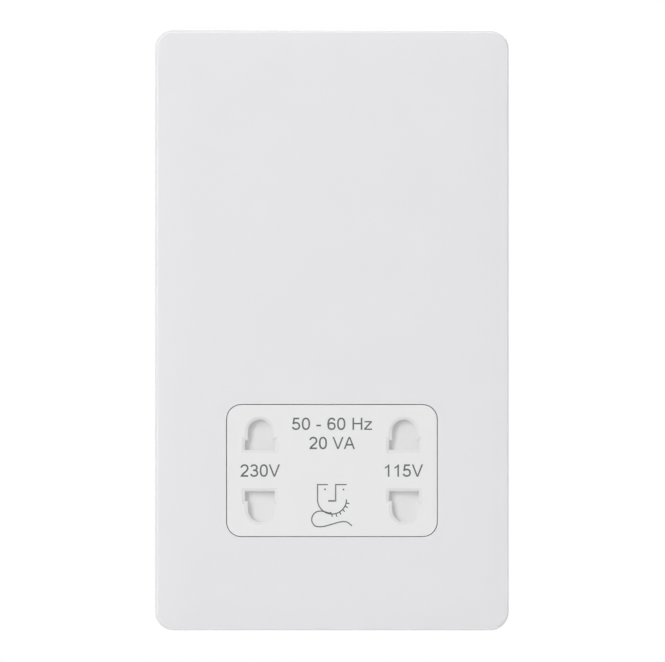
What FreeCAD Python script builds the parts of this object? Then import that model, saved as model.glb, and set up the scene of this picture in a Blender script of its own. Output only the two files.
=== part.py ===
import FreeCAD, Part
import math
import os
import re

import Sketcher
from FreeCAD import Placement, Rotation, Vector

# Dual-voltage wall outlet for electric shavers, in millimetres.
# Y = 0 is the wall, the room is on the -Y side and +Z is up; X = 0, Z = 0 is the centre of the plate.
# A clip-on cover plate hides a mounting frame, which carries the outlet with its two sliding
# shutters, an isolating transformer in a vented rear cover, and the terminals for the supply.

# Driving sizes: name, value, what it is.
SIZES = [
    # cover plate
    ("plate_w", 86.0, "plate width"),
    ("plate_l", 146.0, "plate height"),
    ("plate_corner", 4.5, "plate corner radius"),
    ("plate_depth", 7.5, "face of the plate to the wall"),
    ("plate_wall", 1.8, "plate side wall"),
    ("plate_skin", 2.0, "plate face thickness"),
    ("plate_edge", 0.7, "rounding round the face"),
    ("crown_drop", 0.5, "fall of the face towards its edge"),
    ("crown_reach", 9.0, "width of the crowned border"),
    ("rim_gap", 0.4, "rim of the plate to the wall"),
    ("collar_wall", 1.2, "collar round the panel opening"),
    ("collar_deep", 1.0, "collar depth behind the face"),
    ("catch_bite", 0.8, "how far a catch reaches in"),
    ("catch_l", 8.0, "catch length"),
    ("catch_pitch", 50.0, "spacing of the side catches"),
    ("catch_cover", 0.65, "frame left in front of a catch"),
    ("catch_tip", 0.3, "flat at a catch's tip"),
    ("catch_root", 0.2, "catch sunk into the plate's wall"),
    ("catch_back", 0.1, "catch to the plate's rim"),
    ("catch_free", 0.5, "frame's notch beyond a catch, at each end"),
    ("pry_w", 9.0, "screwdriver notch width"),
    ("pry_deep", 0.9, "screwdriver notch depth"),
    # pin apertures and label panel
    ("panel_low", 38.9, "panel's centre above the plate's lower edge"),
    ("panel_side", 4.35, "aperture to the panel's side"),
    ("panel_corner", 3.6, "panel corner radius"),
    ("panel_gap", 0.22, "gap round the panel"),
    ("panel_skin", 1.5, "panel thickness"),
    ("pin_x", 17.5, "outlet to the centre line"),
    ("pin_pitch", 19.0, "spacing of the round pins"),
    ("pin_hole_r", 3.05, "round part of an aperture"),
    ("pin_len", 19.0, "pin length"),
    ("tip_gap", 1.8, "room past a pin's tip"),
    ("blade_in", 4.9, "aperture's flat end to the centre"),
    ("blade_deep", 2.65, "height of the wide part"),
    ("blade_w", 7.5, "width of the wide part"),
    ("hole_edge", 0.6, "bevel of the apertures"),
    ("panel_edge", 0.12, "bevel round the panel"),
    ("tower_wall", 1.5, "wall behind the panel"),
    ("flange_side", 4.4, "flange beyond the tower, at the sides"),
    ("flange_end", 3.2, "flange beyond the tower, at the ends"),
    ("flange_t", 1.8, "flange thickness"),
    ("fit_gap", 0.15, "clearance between fixed mouldings"),
    ("ear_t", 2.4, "screw ears of the outlet body"),
    ("block_wall", 1.5, "outlet body wall"),
    ("chamber_side", 0.35, "contact to the chamber's side"),
    ("chamber_in", 0.2, "chamber beyond the aperture, inside"),
    ("chamber_out", 0.65, "chamber beyond the aperture, outside"),
    # shutters
    ("shutter_lap", 0.45, "shutter beyond the aperture"),
    ("shutter_t", 1.4, "shutter thickness"),
    ("shutter_gap", 0.2, "shutter to the panel"),
    ("shutter_stop", 0.6, "room behind an open shutter"),
    ("slide_gap", 0.1, "running clearance"),
    ("cheek_t", 1.3, "guide cheek thickness"),
    ("lug_long", 2.6, "guide lug, along X"),
    ("lug_wide", 1.4, "guide lug, across"),
    ("lug_root", 1.2, "guide lug's root behind the shutter"),
    ("guide_past", 1.0, "guide slot beyond the body's block"),
    ("stub_half", 1.35, "spring stub, half its width on X"),
    ("stub_out", 2.4, "spring stub's face behind the shutter"),
    ("spring_r", 1.6, "spring mean radius"),
    ("spring_wire", 0.5, "spring wire"),
    ("spring_shut", 3.4, "spring length when compressed"),
    ("spring_turns", 4.5, "spring turns"),
    # contacts
    ("strip_t", 0.4, "contact strip"),
    ("strip_w", 6.5, "contact width"),
    ("strip_bend", 0.5, "corner cut off at each bend of the strip"),
    ("grip_w", 1.4, "free gap between the contact's legs"),
    ("tail_w", 2.8, "solder tail width"),
    ("tail_out", 4.2, "solder tail behind the body"),
    ("tail_at", 9.0, "solder tail to the centre"),
    ("link_t", 0.6, "link bar thickness"),
    ("link_deep", 2.4, "link bar depth"),
    ("link_in", 0.8, "link bar to the tails' ends"),
    ("contact_back", 0.1, "contact to the chamber's back"),
    ("contact_side", 0.05, "contact to the chamber's inner wall"),
    ("contact_mouth", 0.4, "contact's mouth behind the shutters' room"),
    ("contact_span", 6.4, "contact across its legs, at the back"),
    ("contact_flare", 2.7, "length of the contact's flared mouth"),
    ("contact_out", 0.8, "flared mouth inside the pin's outer side"),
    # mounting frame
    ("frame_gap", 0.35, "frame to the plate's wall"),
    ("frame_base", 2.5, "frame thickness"),
    ("frame_wall", 1.6, "frame rim wall"),
    ("frame_clear", 0.3, "rim wall to the plate's face"),
    ("seat_deep", 0.4, "recess in the frame's back for what stands on it"),
    ("window_gap", 0.3, "frame opening round the tower"),
    ("fixing_in", 12.7, "wall-box screw to the plate's end"),
    ("fixing_r", 2.1, "wall-box screw hole radius"),
    ("fixing_head_r", 3.9, "screw head recess radius"),
    ("fixing_boss", 12.0, "fixing boss, square"),
    ("fixing_seat", 2.2, "thickness under the screw head"),
    ("fixing_recess", 2.0, "depth of the recess for the screw head"),
    ("boss_rise", 1.4, "outlet bosses in front of the frame"),
    ("rib_t", 1.2, "stiffening rib"),
    ("rib_rise", 2.1, "stiffening rib height"),
    ("rib_x", 18.0, "upright rib to the centre line"),
    # self-tapping screws
    ("tap_r", 1.2, "self-tapping screw shank radius"),
    ("tap_head_r", 2.4, "self-tapping screw head radius"),
    ("tap_head", 1.5, "self-tapping screw head height"),
    ("tap_free", 0.3, "clearance round a shank"),
    ("tap_skin", 0.7, "plastic left in front of a pilot hole"),
    # transformer
    ("core_leg", 10.0, "outer leg and yoke width"),
    ("core_window", 10.0, "window width"),
    ("core_stack", 18.0, "height of the stack"),
    ("core_y", 9.9, "core to the wall plane"),
    ("core_hole_in", 5.0, "core screw to the core's edge"),
    ("core_screw_r", 1.6, "core screw radius"),
    ("core_hole_gap", 0.2, "core screw clearance"),
    ("core_above", 3.2, "core above the outlet's flange"),
    ("pillar_w", 7.5, "core pillar, square"),
    ("pillar_skin", 2.0, "pillar's blind end"),
    ("bobbin_gap", 0.2, "bobbin to the core"),
    ("bobbin_wall", 1.0, "bobbin wall"),
    ("build_side", 0.9, "window left free beside the coil"),
    ("coil_sink", 0.3, "winding below the bobbin's cheeks"),
    ("cutout_w", 10.0, "thermal cut-out width"),
    ("cutout_deep", 6.0, "thermal cut-out depth"),
    ("cutout_h", 3.6, "thermal cut-out height"),
    ("cutout_back", 1.0, "middle of the cut-out behind the leads"),
    # rear cover
    ("cover_wall", 1.8, "rear cover wall"),
    ("cover_side", 1.2, "core to the cover's wall"),
    ("cover_end", 0.8, "core to the cover's end walls"),
    ("cover_low", 0.35, "outlet's flange to the cover's lower wall"),
    ("cover_back", 2.0, "coil to the cover's back"),
    ("cover_step", 22.2, "depth of the lower part, inside"),
    ("cover_corner", 4.0, "cover corner radius"),
    ("cover_edge", 1.2, "bevel of the cover's back edge"),
    ("rib_hold", 4.0, "reach of the ribs that hold the outlet's ears"),
    ("rib_pitch", 20.0, "spacing of those ribs"),
    ("ear_r", 3.5, "cover ear radius"),
    ("cover_ear_t", 2.6, "cover ear thickness"),
    ("cover_ear_in", 7.0, "cover ear to the cover's side"),
    ("vent_w", 2.0, "vent slot"),
    ("vent_count", 10.0, "side vents that the core's height would hold"),
    ("vent_end", 12.0, "back vents short of the core, at each end"),
    ("side_vent_l", 14.0, "vent slot length on the sides"),
    # terminals
    ("block_w", 36.0, "terminal block width"),
    ("block_h", 12.4, "terminal block height"),
    ("block_deep", 13.0, "terminal block depth"),
    ("block_above", 0.8, "terminal block above the cover"),
    ("block_in", 18.7, "terminal block to the plate's upper edge"),
    ("peg_w", 2.6, "square peg that carries the block"),
    ("peg_l", 8.0, "peg length"),
    ("clamp_pitch", 10.0, "terminal spacing"),
    ("clamp_w", 6.0, "terminal width"),
    ("clamp_h", 9.0, "terminal height"),
    ("clamp_deep", 7.0, "terminal depth"),
    ("clamp_base", 1.2, "block below a terminal"),
    ("clamp_floor", 2.4, "terminal to the wall plane"),
    ("clamp_in", 4.2, "wire hole to the terminal's face"),
    ("wire_hole_r", 2.0, "wire hole radius"),
    ("wire_lead_in", 0.25, "block's hole beyond the terminal's"),
    ("clamp_screw_r", 1.75, "terminal screw radius"),
    ("clamp_screw_l", 4.6, "terminal screw length"),
    # leads
    ("lead_r", 0.75, "insulated lead radius"),
    ("lead_front", 4.2, "leads to the wall plane, beside the coil"),
    ("lead_drop", 1.2, "leads below the core"),
    ("lead_pass", 0.4, "leads behind the solder tails"),
    ("lead_free", 0.8, "clearance beside a lead in the cover's notch"),
    ("lead_turn", 8.0, "turn of the outer leads above the panel's centre"),
    ("lead_ease", 1.0, "corner cut off at each bend of a lead"),
]

# Sizes that follow from the driving ones.
FORMULAS = {
    "plate_in_w": "plate_w - 2 * plate_wall",
    "plate_in_l": "plate_l - 2 * plate_wall",
    "plate_in_corner": "plate_corner - plate_wall",
    "face_y": "-plate_depth",
    "skin_y": "plate_skin - plate_depth",
    "frame_w": "plate_in_w - 2 * frame_gap",
    "frame_l": "plate_in_l - 2 * frame_gap",
    "frame_corner": "plate_in_corner - frame_gap",
    "frame_y": "skin_y + frame_clear",
    "seat_y": "-seat_deep",
    "fixing_pitch": "plate_l - 2 * fixing_in",
    "ledge_y": "catch_cover - frame_base",
    "catch_front": "ledge_y + slide_gap",
    "catch_end": "-rim_gap - catch_back",
    "boss_y": "-frame_base - boss_rise",
    "pilot_y": "boss_y + tap_skin",
    "pin_out": "pin_pitch / 2 + pin_hole_r",
    "blade_out": "blade_in + blade_deep",
    "shutter_half": "pin_out + shutter_lap",
    "cheek_in": "shutter_half + slide_gap",
    "cheek_out": "cheek_in + cheek_t",
    "panel_z": "panel_low - plate_l / 2",
    "panel_w": "2 * (pin_x + blade_w / 2 + panel_side)",
    "panel_h": "2 * (cheek_out + fit_gap + tower_wall)",
    "panel_y": "panel_skin - plate_depth",
    "tower_in_w": "panel_w - 2 * tower_wall",
    "tower_in_h": "panel_h - 2 * tower_wall",
    "tower_in_corner": "panel_corner - tower_wall",
    "flange_w": "panel_w + 2 * flange_side",
    "flange_h": "panel_h + 2 * flange_end",
    "ear_y": "flange_t + ear_t",
    "shutter_y": "panel_y + shutter_gap",
    "shutter_back": "shutter_y + shutter_t",
    "shutter_w": "blade_w + 2 * shutter_lap",
    "travel": "(blade_w + shutter_w) / 2 + slide_gap",
    "lug_half": "lug_long / 2",
    "lug_across": "lug_wide / 2",
    "lug_y": "shutter_y + lug_half + lug_across",
    "channel_half": "stub_half + slide_gap",
    "channel_high": "spring_r + spring_wire / 2 + slide_gap",
    "spring_reach": "travel + spring_shut / sqrt(2)",
    "spring_pitch": "(spring_reach * sqrt(2) - spring_wire) / spring_turns",
    "room_y": "shutter_back + travel + shutter_stop",
    "room_half": "pin_x + shutter_w / 2 + slide_gap + shutter_lap",
    "chamber_low": "blade_in - chamber_in",
    "chamber_high": "pin_out + chamber_out",
    "chamber_w": "strip_w + 2 * chamber_side",
    "chamber_y": "pin_len - plate_depth + tip_gap",
    "block_y": "chamber_y + block_wall",
    "block_half": "chamber_high + block_wall",
    "tail_y": "block_y + tail_out",
    "core_w": "4 * core_leg + 2 * core_window",
    "core_low": "panel_z + flange_h / 2 + fit_gap + core_above",
    "core_h": "cover_top_in - cover_end - core_low",
    "core_z": "core_low + core_h / 2",
    "window_h": "core_h - 2 * core_leg",
    "core_back": "core_y + core_stack",
    "core_mid_y": "core_y + core_stack / 2",
    "core_hole_x": "core_w / 2 - core_hole_in",
    "core_hole_z": "core_h / 2 - core_hole_in",
    "tube_w": "2 * core_leg + 2 * bobbin_gap + 2 * bobbin_wall",
    "tube_t": "core_stack + 2 * bobbin_gap + 2 * bobbin_wall",
    "bobbin_h": "window_h - 2 * bobbin_gap",
    "coil_build": "core_window - build_side - bobbin_gap - bobbin_wall - coil_sink",
    "cheek_w": "tube_w + 2 * (coil_build + coil_sink)",
    "cheek_deep": "tube_t + 2 * (coil_build + coil_sink)",
    "section_h": "(bobbin_h - 3 * bobbin_wall) / 2",
    "bobbin_top": "core_z + bobbin_h / 2",
    "bobbin_bottom": "core_z - bobbin_h / 2",
    "cover_in_w": "max(core_w; flange_w) + 2 * cover_side",
    "cover_w": "cover_in_w + 2 * cover_wall",
    "cover_in_y": "core_mid_y + cheek_deep / 2 + cover_back",
    "cover_y": "cover_in_y + cover_wall",
    "cover_top": "plate_l / 2 - block_in - block_h - block_above",
    "cover_top_in": "cover_top - cover_wall",
    "cover_split": "core_z - core_h / 2 - cover_end - cover_wall",
    "cover_bottom_in": "panel_z - flange_h / 2 - cover_low",
    "cover_bottom": "cover_bottom_in - cover_wall",
    "step_y": "cover_step + cover_wall",
    "cover_ear_x": "cover_w / 2 - cover_ear_in",
    "ear_top_z": "cover_top + tap_head_r + tap_free",
    "ear_low_z": "cover_bottom - tap_head_r - tap_free",
    "block_z": "cover_top + block_above + block_h / 2",
    "clamp_z": "block_z - block_h / 2 + clamp_base + clamp_h / 2",
    "clamp_y": "clamp_floor + clamp_deep",
    "wire_y": "clamp_floor + clamp_in",
    "peg_x": "(block_w / 2 + clamp_pitch + clamp_w / 2) / 2",
}

VALUES = {name: value for name, value, note in SIZES}
DOC = FreeCAD.newDocument("ShaverOutlet")
SHEET = DOC.addObject("Spreadsheet::Sheet", "Sizes")


def fill_sheet():
    """One row for each driving size: its note, and its value in a cell named by its alias."""
    for row, (name, value, note) in enumerate(SIZES, start=1):
        SHEET.set("A%d" % row, note)
        SHEET.set("B%d" % row, str(value))
        SHEET.setAlias("B%d" % row, name)
    DOC.recompute()


def expression(text):
    """The text with each formula written out in brackets and each size as its cell in the sheet."""

    def written_out(match):
        word = match.group()
        if word in FORMULAS:
            return "(" + expression(FORMULAS[word]) + ")"
        return "Sizes." + word if word in VALUES else word

    return re.sub(r"[a-z][a-z0-9_]*", written_out, str(text))


def number(text):
    """The value of a formula, in millimetres."""
    result = SHEET.evalExpression(expression(text))
    return float(getattr(result, "Value", result))


# Sketches and prisms
# A sketch on the front plane has X to the right and Z up, and faces the room.

PLANES = {"front": "XZ_Plane", "side": "YZ_Plane", "top": "XY_Plane"}


def new_body(name):
    body = DOC.addObject("PartDesign::Body", name)
    body.Label = name
    return body


def sketch_on(body, name, plane, at, outlines):
    """A sketch on one of the body's own planes, moved along its normal to the place given."""
    sketch = body.newObject("Sketcher::SketchObject", name + "_sketch")
    role = PLANES[plane]
    sketch.AttachmentSupport = [(next(f for f in body.Origin.OriginFeatures if f.Role == role), "")]
    sketch.MapMode = "FlatFace"
    offset = "-(%s)" % at if plane == "front" else at
    sketch.setExpression("AttachmentOffset.Base.z", expression(offset))
    for draw in outlines:
        draw(sketch)
    return sketch


def fix(sketch, kind, geometry, point, text):
    """Binds one coordinate of a point, or a radius, to a formula."""
    value = number(text)
    if kind == "Radius":
        index = sketch.addConstraint(Sketcher.Constraint(kind, geometry, value))
    else:
        index = sketch.addConstraint(Sketcher.Constraint(kind, -1, 1, geometry, point, value))
    sketch.setExpression("Constraints[%d]" % index, expression(text))


def circle(cx, cy, r):
    def draw(sketch):
        centre = Vector(number(cx), number(cy), 0)
        index = sketch.addGeometry(Part.Circle(centre, Vector(0, 0, 1), number(r)))
        fix(sketch, "DistanceX", index, 3, cx)
        fix(sketch, "DistanceY", index, 3, cy)
        fix(sketch, "Radius", index, 0, r)

    return draw


def polygon(*corners):
    """A closed outline whose corners are each bound to two formulas."""

    def draw(sketch):
        points = [Vector(number(x), number(y), 0) for x, y in corners]
        count = len(points)
        first = sketch.GeometryCount
        for i in range(count):
            sketch.addGeometry(Part.LineSegment(points[i], points[(i + 1) % count]))
        for i, (x, y) in enumerate(corners):
            after = first + (i + 1) % count
            sketch.addConstraint(Sketcher.Constraint("Coincident", first + i, 2, after, 1))
            fix(sketch, "DistanceX", first + i, 1, x)
            fix(sketch, "DistanceY", first + i, 1, y)

    return draw


def rectangle(cx, cy, w, h):
    left, right = "(%s) - (%s) / 2" % (cx, w), "(%s) + (%s) / 2" % (cx, w)
    low, high = "(%s) - (%s) / 2" % (cy, h), "(%s) + (%s) / 2" % (cy, h)
    return polygon((left, low), (right, low), (right, high), (left, high))


def cornered(cx, cy, w, h, cut):
    """A rectangle with its four corners cut off at 45 degrees."""
    corners = []
    for i, j in ((-1, -1), (1, -1), (1, 1), (-1, 1)):
        x, y = "(%s) + %d * (%s) / 2" % (cx, i, w), "(%s) + %d * (%s) / 2" % (cy, j, h)
        along, up = (x + " - %d * (%s)" % (i, cut), y), (x, y + " - %d * (%s)" % (j, cut))
        corners += [up, along] if i == j else [along, up]
    return polygon(*corners)


def rounded(cx, cy, w, h, r):
    """A rectangle with four equal corner arcs, tangent to its sides."""

    def draw(sketch):
        x, y, half_w, half_h, radius = (number(v) for v in (cx, cy, w, h, r))
        half_w, half_h = half_w / 2, half_h / 2
        first = sketch.GeometryCount
        for turn in range(4):
            a, b = (half_w, half_h) if turn % 2 == 0 else (half_h, half_w)
            spin = Rotation(Vector(0, 0, 1), 90 * turn)
            ends = [Vector(radius - a, -b, 0), Vector(a - radius, -b, 0)]
            start, end = (spin.multVec(p) + Vector(x, y, 0) for p in ends)
            sketch.addGeometry(Part.LineSegment(start, end))
            centre = spin.multVec(Vector(a - radius, radius - b, 0)) + Vector(x, y, 0)
            sweep = [math.radians(90 * turn - 90), math.radians(90 * turn)]
            sketch.addGeometry(Part.ArcOfCircle(Part.Circle(centre, Vector(0, 0, 1), radius), *sweep))
        for turn in range(4):
            side, arc = first + 2 * turn, first + 2 * turn + 1
            following = first + (2 * turn + 2) % 8
            sketch.addConstraint(Sketcher.Constraint("Tangent", side, 2, arc, 1))
            sketch.addConstraint(Sketcher.Constraint("Tangent", arc, 2, following, 1))
            sketch.addConstraint(Sketcher.Constraint("Vertical" if turn % 2 else "Horizontal", side))
            if turn:
                sketch.addConstraint(Sketcher.Constraint("Equal", first + 1, arc))
        fix(sketch, "Radius", first + 1, 0, r)
        fix(sketch, "DistanceY", first, 1, "(%s) - (%s) / 2" % (cy, h))
        fix(sketch, "DistanceX", first + 2, 1, "(%s) + (%s) / 2" % (cx, w))
        fix(sketch, "DistanceY", first + 4, 1, "(%s) + (%s) / 2" % (cy, h))
        fix(sketch, "DistanceX", first + 6, 1, "(%s) - (%s) / 2" % (cx, w))

    return draw


def aperture(side, end):
    """One pin aperture: an arch for a round pin, on a wider step for a flat blade."""
    cx = "%d * pin_x" % side

    def draw(sketch):
        def corner(across, up):
            return "%s %s" % (cx, across), "panel_z + %d * (%s)" % (end, up)

        corners = [
            corner("+ pin_hole_r", "pin_pitch / 2"),
            corner("+ pin_hole_r", "blade_out"),
            corner("+ blade_w / 2", "blade_out"),
            corner("+ blade_w / 2", "blade_in"),
            corner("- blade_w / 2", "blade_in"),
            corner("- blade_w / 2", "blade_out"),
            corner("- pin_hole_r", "blade_out"),
            corner("- pin_hole_r", "pin_pitch / 2"),
        ]
        first = sketch.GeometryCount
        points = [Vector(number(x), number(y), 0) for x, y in corners]
        for start, finish in zip(points, points[1:]):
            sketch.addGeometry(Part.LineSegment(start, finish))
        last = sketch.GeometryCount - 1
        radius = number("pin_hole_r")
        centre = Vector(number(cx), points[0].y, 0)
        top = centre + Vector(0, end * radius, 0)
        arch = sketch.addGeometry(Part.Arc(points[-1], top, points[0]))
        for i, (x, y) in enumerate(corners[:-1]):
            if i:
                sketch.addConstraint(Sketcher.Constraint("Coincident", first + i - 1, 2, first + i, 1))
            fix(sketch, "DistanceX", first + i, 1, x)
            fix(sketch, "DistanceY", first + i, 1, y)
        fix(sketch, "DistanceX", last, 2, corners[-1][0])
        fix(sketch, "DistanceY", last, 2, corners[-1][1])
        start_point = 1 if sketch.getPoint(arch, 1).isEqual(points[-1], 1e-6) else 2
        sketch.addConstraint(Sketcher.Constraint("Coincident", arch, start_point, last, 2))
        sketch.addConstraint(Sketcher.Constraint("Coincident", arch, 3 - start_point, first, 1))
        fix(sketch, "DistanceY", arch, 3, corners[0][1])

    return draw


def prism(body, name, plane, start, end, *outlines, cut=False):
    """Material, or a cut, between two places along the plane's axis: Y for front, X for side, Z for top."""
    at_end = (plane == "front") != cut
    sketch = sketch_on(body, name, plane, end if at_end else start, outlines)
    feature = body.newObject("PartDesign::Pocket" if cut else "PartDesign::Pad", name)
    feature.Profile = sketch
    feature.setExpression("Length", expression("(%s) - (%s)" % (end, start)))
    feature.Refine = True
    DOC.recompute()
    return feature


def hollow(body, name, plane, start, end, *outlines):
    """A cut, which has to take something away."""
    before = body.Shape.Volume
    feature = prism(body, name, plane, start, end, *outlines, cut=True)
    if not body.Shape.Volume < before - 1e-6:
        raise ValueError("%s cuts nothing" % name)
    return feature


def bevel(body, name, size, wanted):
    """Breaks the edges of the body that the test picks, at 45 degrees."""
    tip = body.Tip
    edges = ["Edge%d" % i for i, e in enumerate(tip.Shape.Edges, start=1) if wanted(e)]
    feature = body.newObject("PartDesign::Chamfer", name)
    feature.Base = (tip, edges)
    feature.setExpression("Size", expression(size))
    DOC.recompute()
    return feature


def lies_at_y(edge, y):
    return all(abs(v.Y - y) < 1e-4 for v in edge.Vertexes) and abs(edge.CenterOfMass.y - y) < 1e-4


def four(x, z, z_mid="0"):
    """The four corners of a rectangle of holes, as formulas."""
    return [("%d * (%s)" % (i, x), "(%s) + %d * (%s)" % (z_mid, j, z)) for i in (-1, 1) for j in (-1, 1)]


def circles(places, r):
    return [circle(x, z, r) for x, z in places]


def squares(places, side):
    return [rectangle(x, z, side, side) for x, z in places]


# Shapes made from a path

def eased(points, cut):
    """The route with each corner cut off, so that a right-angled bend becomes two of 45 degrees."""
    route = [points[0]]
    for before, corner, after in zip(points, points[1:], points[2:]):
        back, on = (before - corner).normalize(), (after - corner).normalize()
        route += [corner + back * cut, corner + on * cut]
    return route + [points[-1]]


MITRED = 1
CHORDS = 8


def swept(section, path):
    """A closed section carried along a path as a solid, mitred where the path has corners."""
    return path.makePipeShell([section], True, False, MITRED)


def formed(name, shape, placement=None):
    """A sub-part whose shape is made by the functions of Part, put in its place."""
    piece = DOC.addObject("Part::Feature", name)
    piece.Label = name
    piece.Shape = shape
    if placement:
        piece.Placement = placement
    return piece


def repeated(name, master, places):
    """Several equal pieces in one sub-part: copies of a master body moved to the places given."""
    copies = []
    for place in places:
        copy = master.Shape.copy()
        copy.Placement = Placement(place, Rotation()).multiply(master.Shape.Placement)
        copies.append(copy)
    return formed(name, Part.makeCompound(copies))


# Cover plate

def border_section(body, index, inset, level, corner):
    w, h = "plate_w - 2 * (%s)" % inset, "plate_l - 2 * (%s)" % inset
    return sketch_on(body, "Border%d" % index, "front", level, [rounded("0", "0", w, h, corner)])


def catch_wedge(side, wall):
    """A wedge on an inner wall: a flat step that faces the room, and a slope behind it. Each corner is
    its place along the wall's normal, then its depth."""
    inner, tip = "%d * (%s)" % (side, wall), "%d * (%s - catch_bite)" % (side, wall)
    rooted = "%d * (%s + catch_root)" % (side, wall)
    return [
        (rooted, "catch_front"),
        (tip, "catch_front"),
        (tip, "catch_front + catch_tip"),
        (inner, "catch_end"),
        (rooted, "catch_end"),
    ]


def make_front_plate():
    body = new_body("front_plate")
    outline = rounded("0", "0", "plate_w", "plate_l", "plate_corner")
    prism(body, "Sides", "front", "crown_drop + plate_edge - plate_depth", "-rim_gap", outline)
    # The face's border is ruled between outlines: a quarter round in three steps, then the crown's slope.
    sections = []
    for index, angle in enumerate((0, 30, 60, 90)):
        inset = "plate_edge * (1 - cos(%d))" % angle
        level = "crown_drop + plate_edge * (1 - sin(%d)) - plate_depth" % angle
        sections.append(border_section(body, index, inset, level, "plate_corner - " + inset))
    inset = "plate_edge + crown_reach"
    sections.append(border_section(body, 4, inset, "-plate_depth", "plate_corner - plate_edge"))
    border = body.newObject("PartDesign::AdditiveLoft", "Border")
    border.Profile = sections[0]
    border.Sections = sections[1:]
    border.Ruled = True
    DOC.recompute()
    inside = rounded("0", "0", "plate_in_w", "plate_in_l", "plate_in_corner")
    hollow(body, "Inside", "front", "skin_y", "0", inside)
    window = rounded(
        "0", "panel_z", "panel_w + 2 * panel_gap", "panel_h + 2 * panel_gap", "panel_corner + panel_gap"
    )
    collar = cornered(
        "0",
        "panel_z",
        "panel_w + 2 * (panel_gap + collar_wall)",
        "panel_h + 2 * (panel_gap + collar_wall)",
        "(panel_corner + panel_gap + collar_wall) / 2",
    )
    prism(body, "Collar", "front", "skin_y", "skin_y + collar_deep", collar)
    hollow(body, "Window", "front", "face_y", "skin_y + collar_deep", window)
    for index, middle in enumerate(("-catch_pitch", "0", "catch_pitch")):
        wedges = [catch_wedge(side, "plate_in_w / 2") for side in (-1, 1)]
        low, high = "%s - catch_l / 2" % middle, "%s + catch_l / 2" % middle
        prism(body, "SideCatch%d" % index, "top", low, high, *[polygon(*corners) for corners in wedges])
    wedges = [catch_wedge(side, "plate_in_l / 2") for side in (-1, 1)]
    ends = [polygon(*[(y, z) for z, y in corners]) for corners in wedges]
    prism(body, "EndCatches", "side", "-catch_l", "catch_l", *ends)
    notch = rectangle("-rim_gap", "-plate_l / 2", "2 * pry_deep", "2 * plate_wall / 3")
    hollow(body, "PryNotch", "side", "-pry_w / 2", "pry_w / 2", notch)
    return body


# Mounting frame

def make_mounting_frame():
    body = new_body("mounting_frame")
    outline = rounded("0", "0", "frame_w", "frame_l", "frame_corner")
    prism(body, "Base", "front", "-frame_base", "0", outline)
    inner = cornered(
        "0", "0", "frame_w - 2 * frame_wall", "frame_l - 2 * frame_wall", "frame_corner / 2"
    )
    prism(body, "Rim", "front", "frame_y", "-frame_base", outline, inner)
    for side in (-1, 1):
        upright = rectangle("%d * rib_x" % side, "(core_low + core_z + core_h / 2) / 2", "rib_t", "core_h")
        prism(body, "Upright%d" % (side + 1), "front", "-frame_base - rib_rise", "-frame_base", upright)
    for step in (-1, 0, 1):
        across = rectangle("0", "core_z + %d * core_h / 3" % step, "frame_w - 2 * frame_wall", "rib_t")
        prism(body, "Across%d" % (step + 1), "front", "-frame_base - rib_rise", "-frame_base", across)
    fixings = [("0", "-fixing_pitch / 2"), ("0", "fixing_pitch / 2")]
    front = "-fixing_seat - fixing_recess"
    prism(body, "FixingBosses", "front", front, "-frame_base", *squares(fixings, "fixing_boss"))
    hollow(body, "HeadRecesses", "front", front, "-fixing_seat", *circles(fixings, "fixing_head_r"))
    hollow(body, "FixingHoles", "front", "-fixing_seat", "0", *circles(fixings, "fixing_r"))
    screws = cover_screw_places()
    prism(body, "Bosses", "front", "boss_y", "-frame_base", *squares(screws, "2 * tap_head_r"))
    opening = rounded(
        "0",
        "panel_z",
        "panel_w + 2 * window_gap",
        "panel_h + 2 * window_gap",
        "panel_corner + window_gap",
    )
    hollow(body, "Window", "front", "boss_y", "0", opening)
    hollow(body, "Pilots", "front", "pilot_y", "0", *circles(screws, "tap_r"))
    make_seats(body)
    pillars = core_screw_places()
    prism(body, "Pillars", "front", "seat_y", "core_y", *squares(pillars, "pillar_w"))
    hollow(body, "PillarPilots", "front", "pillar_skin", "core_y", *circles(pillars, "core_screw_r"))
    prism(body, "Pegs", "front", "seat_y", "peg_l", *squares(peg_places(), "peg_w"))
    notches, bite = [], "2 * (catch_bite + slide_gap)"
    for side in (-1, 1):
        for middle in ("-catch_pitch", "0", "catch_pitch"):
            x = "%d * frame_w / 2" % side
            notches.append(rectangle(x, middle, bite, "catch_l + 2 * catch_free"))
        z = "%d * frame_l / 2" % side
        notches.append(rectangle("0", z, "2 * catch_l + 2 * catch_free", bite))
    hollow(body, "CatchNotches", "front", "ledge_y", "0", *notches)
    return body


def make_seats(body):
    """Recesses in the frame's back for the rear cover, its ears and the terminal block. The margin
    left round them lies on the wall."""
    middle, height = "(cover_top + cover_bottom) / 2", "cover_top - cover_bottom + 2 * fit_gap"
    cover = rectangle("0", middle, "cover_w + 2 * fit_gap", height)
    block = rectangle("0", "block_z", "block_w + 2 * fit_gap", "block_h + 2 * fit_gap")
    ears = [ear_outline(end, "fit_gap") for end in (1, -1)]
    for index, seat in enumerate([cover, block] + ears):
        hollow(body, "Seat%d" % index, "front", "seat_y", "0", seat)


def core_screw_places():
    return four("core_hole_x", "core_hole_z", "core_z")


def cover_screw_places():
    """One ear above the rear cover and one below it, on opposite sides."""
    return [("-cover_ear_x", "ear_top_z"), ("cover_ear_x", "ear_low_z")]


def peg_places():
    return [("%d * peg_x" % side, "block_z") for side in (-1, 1)]


# Outlet

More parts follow.
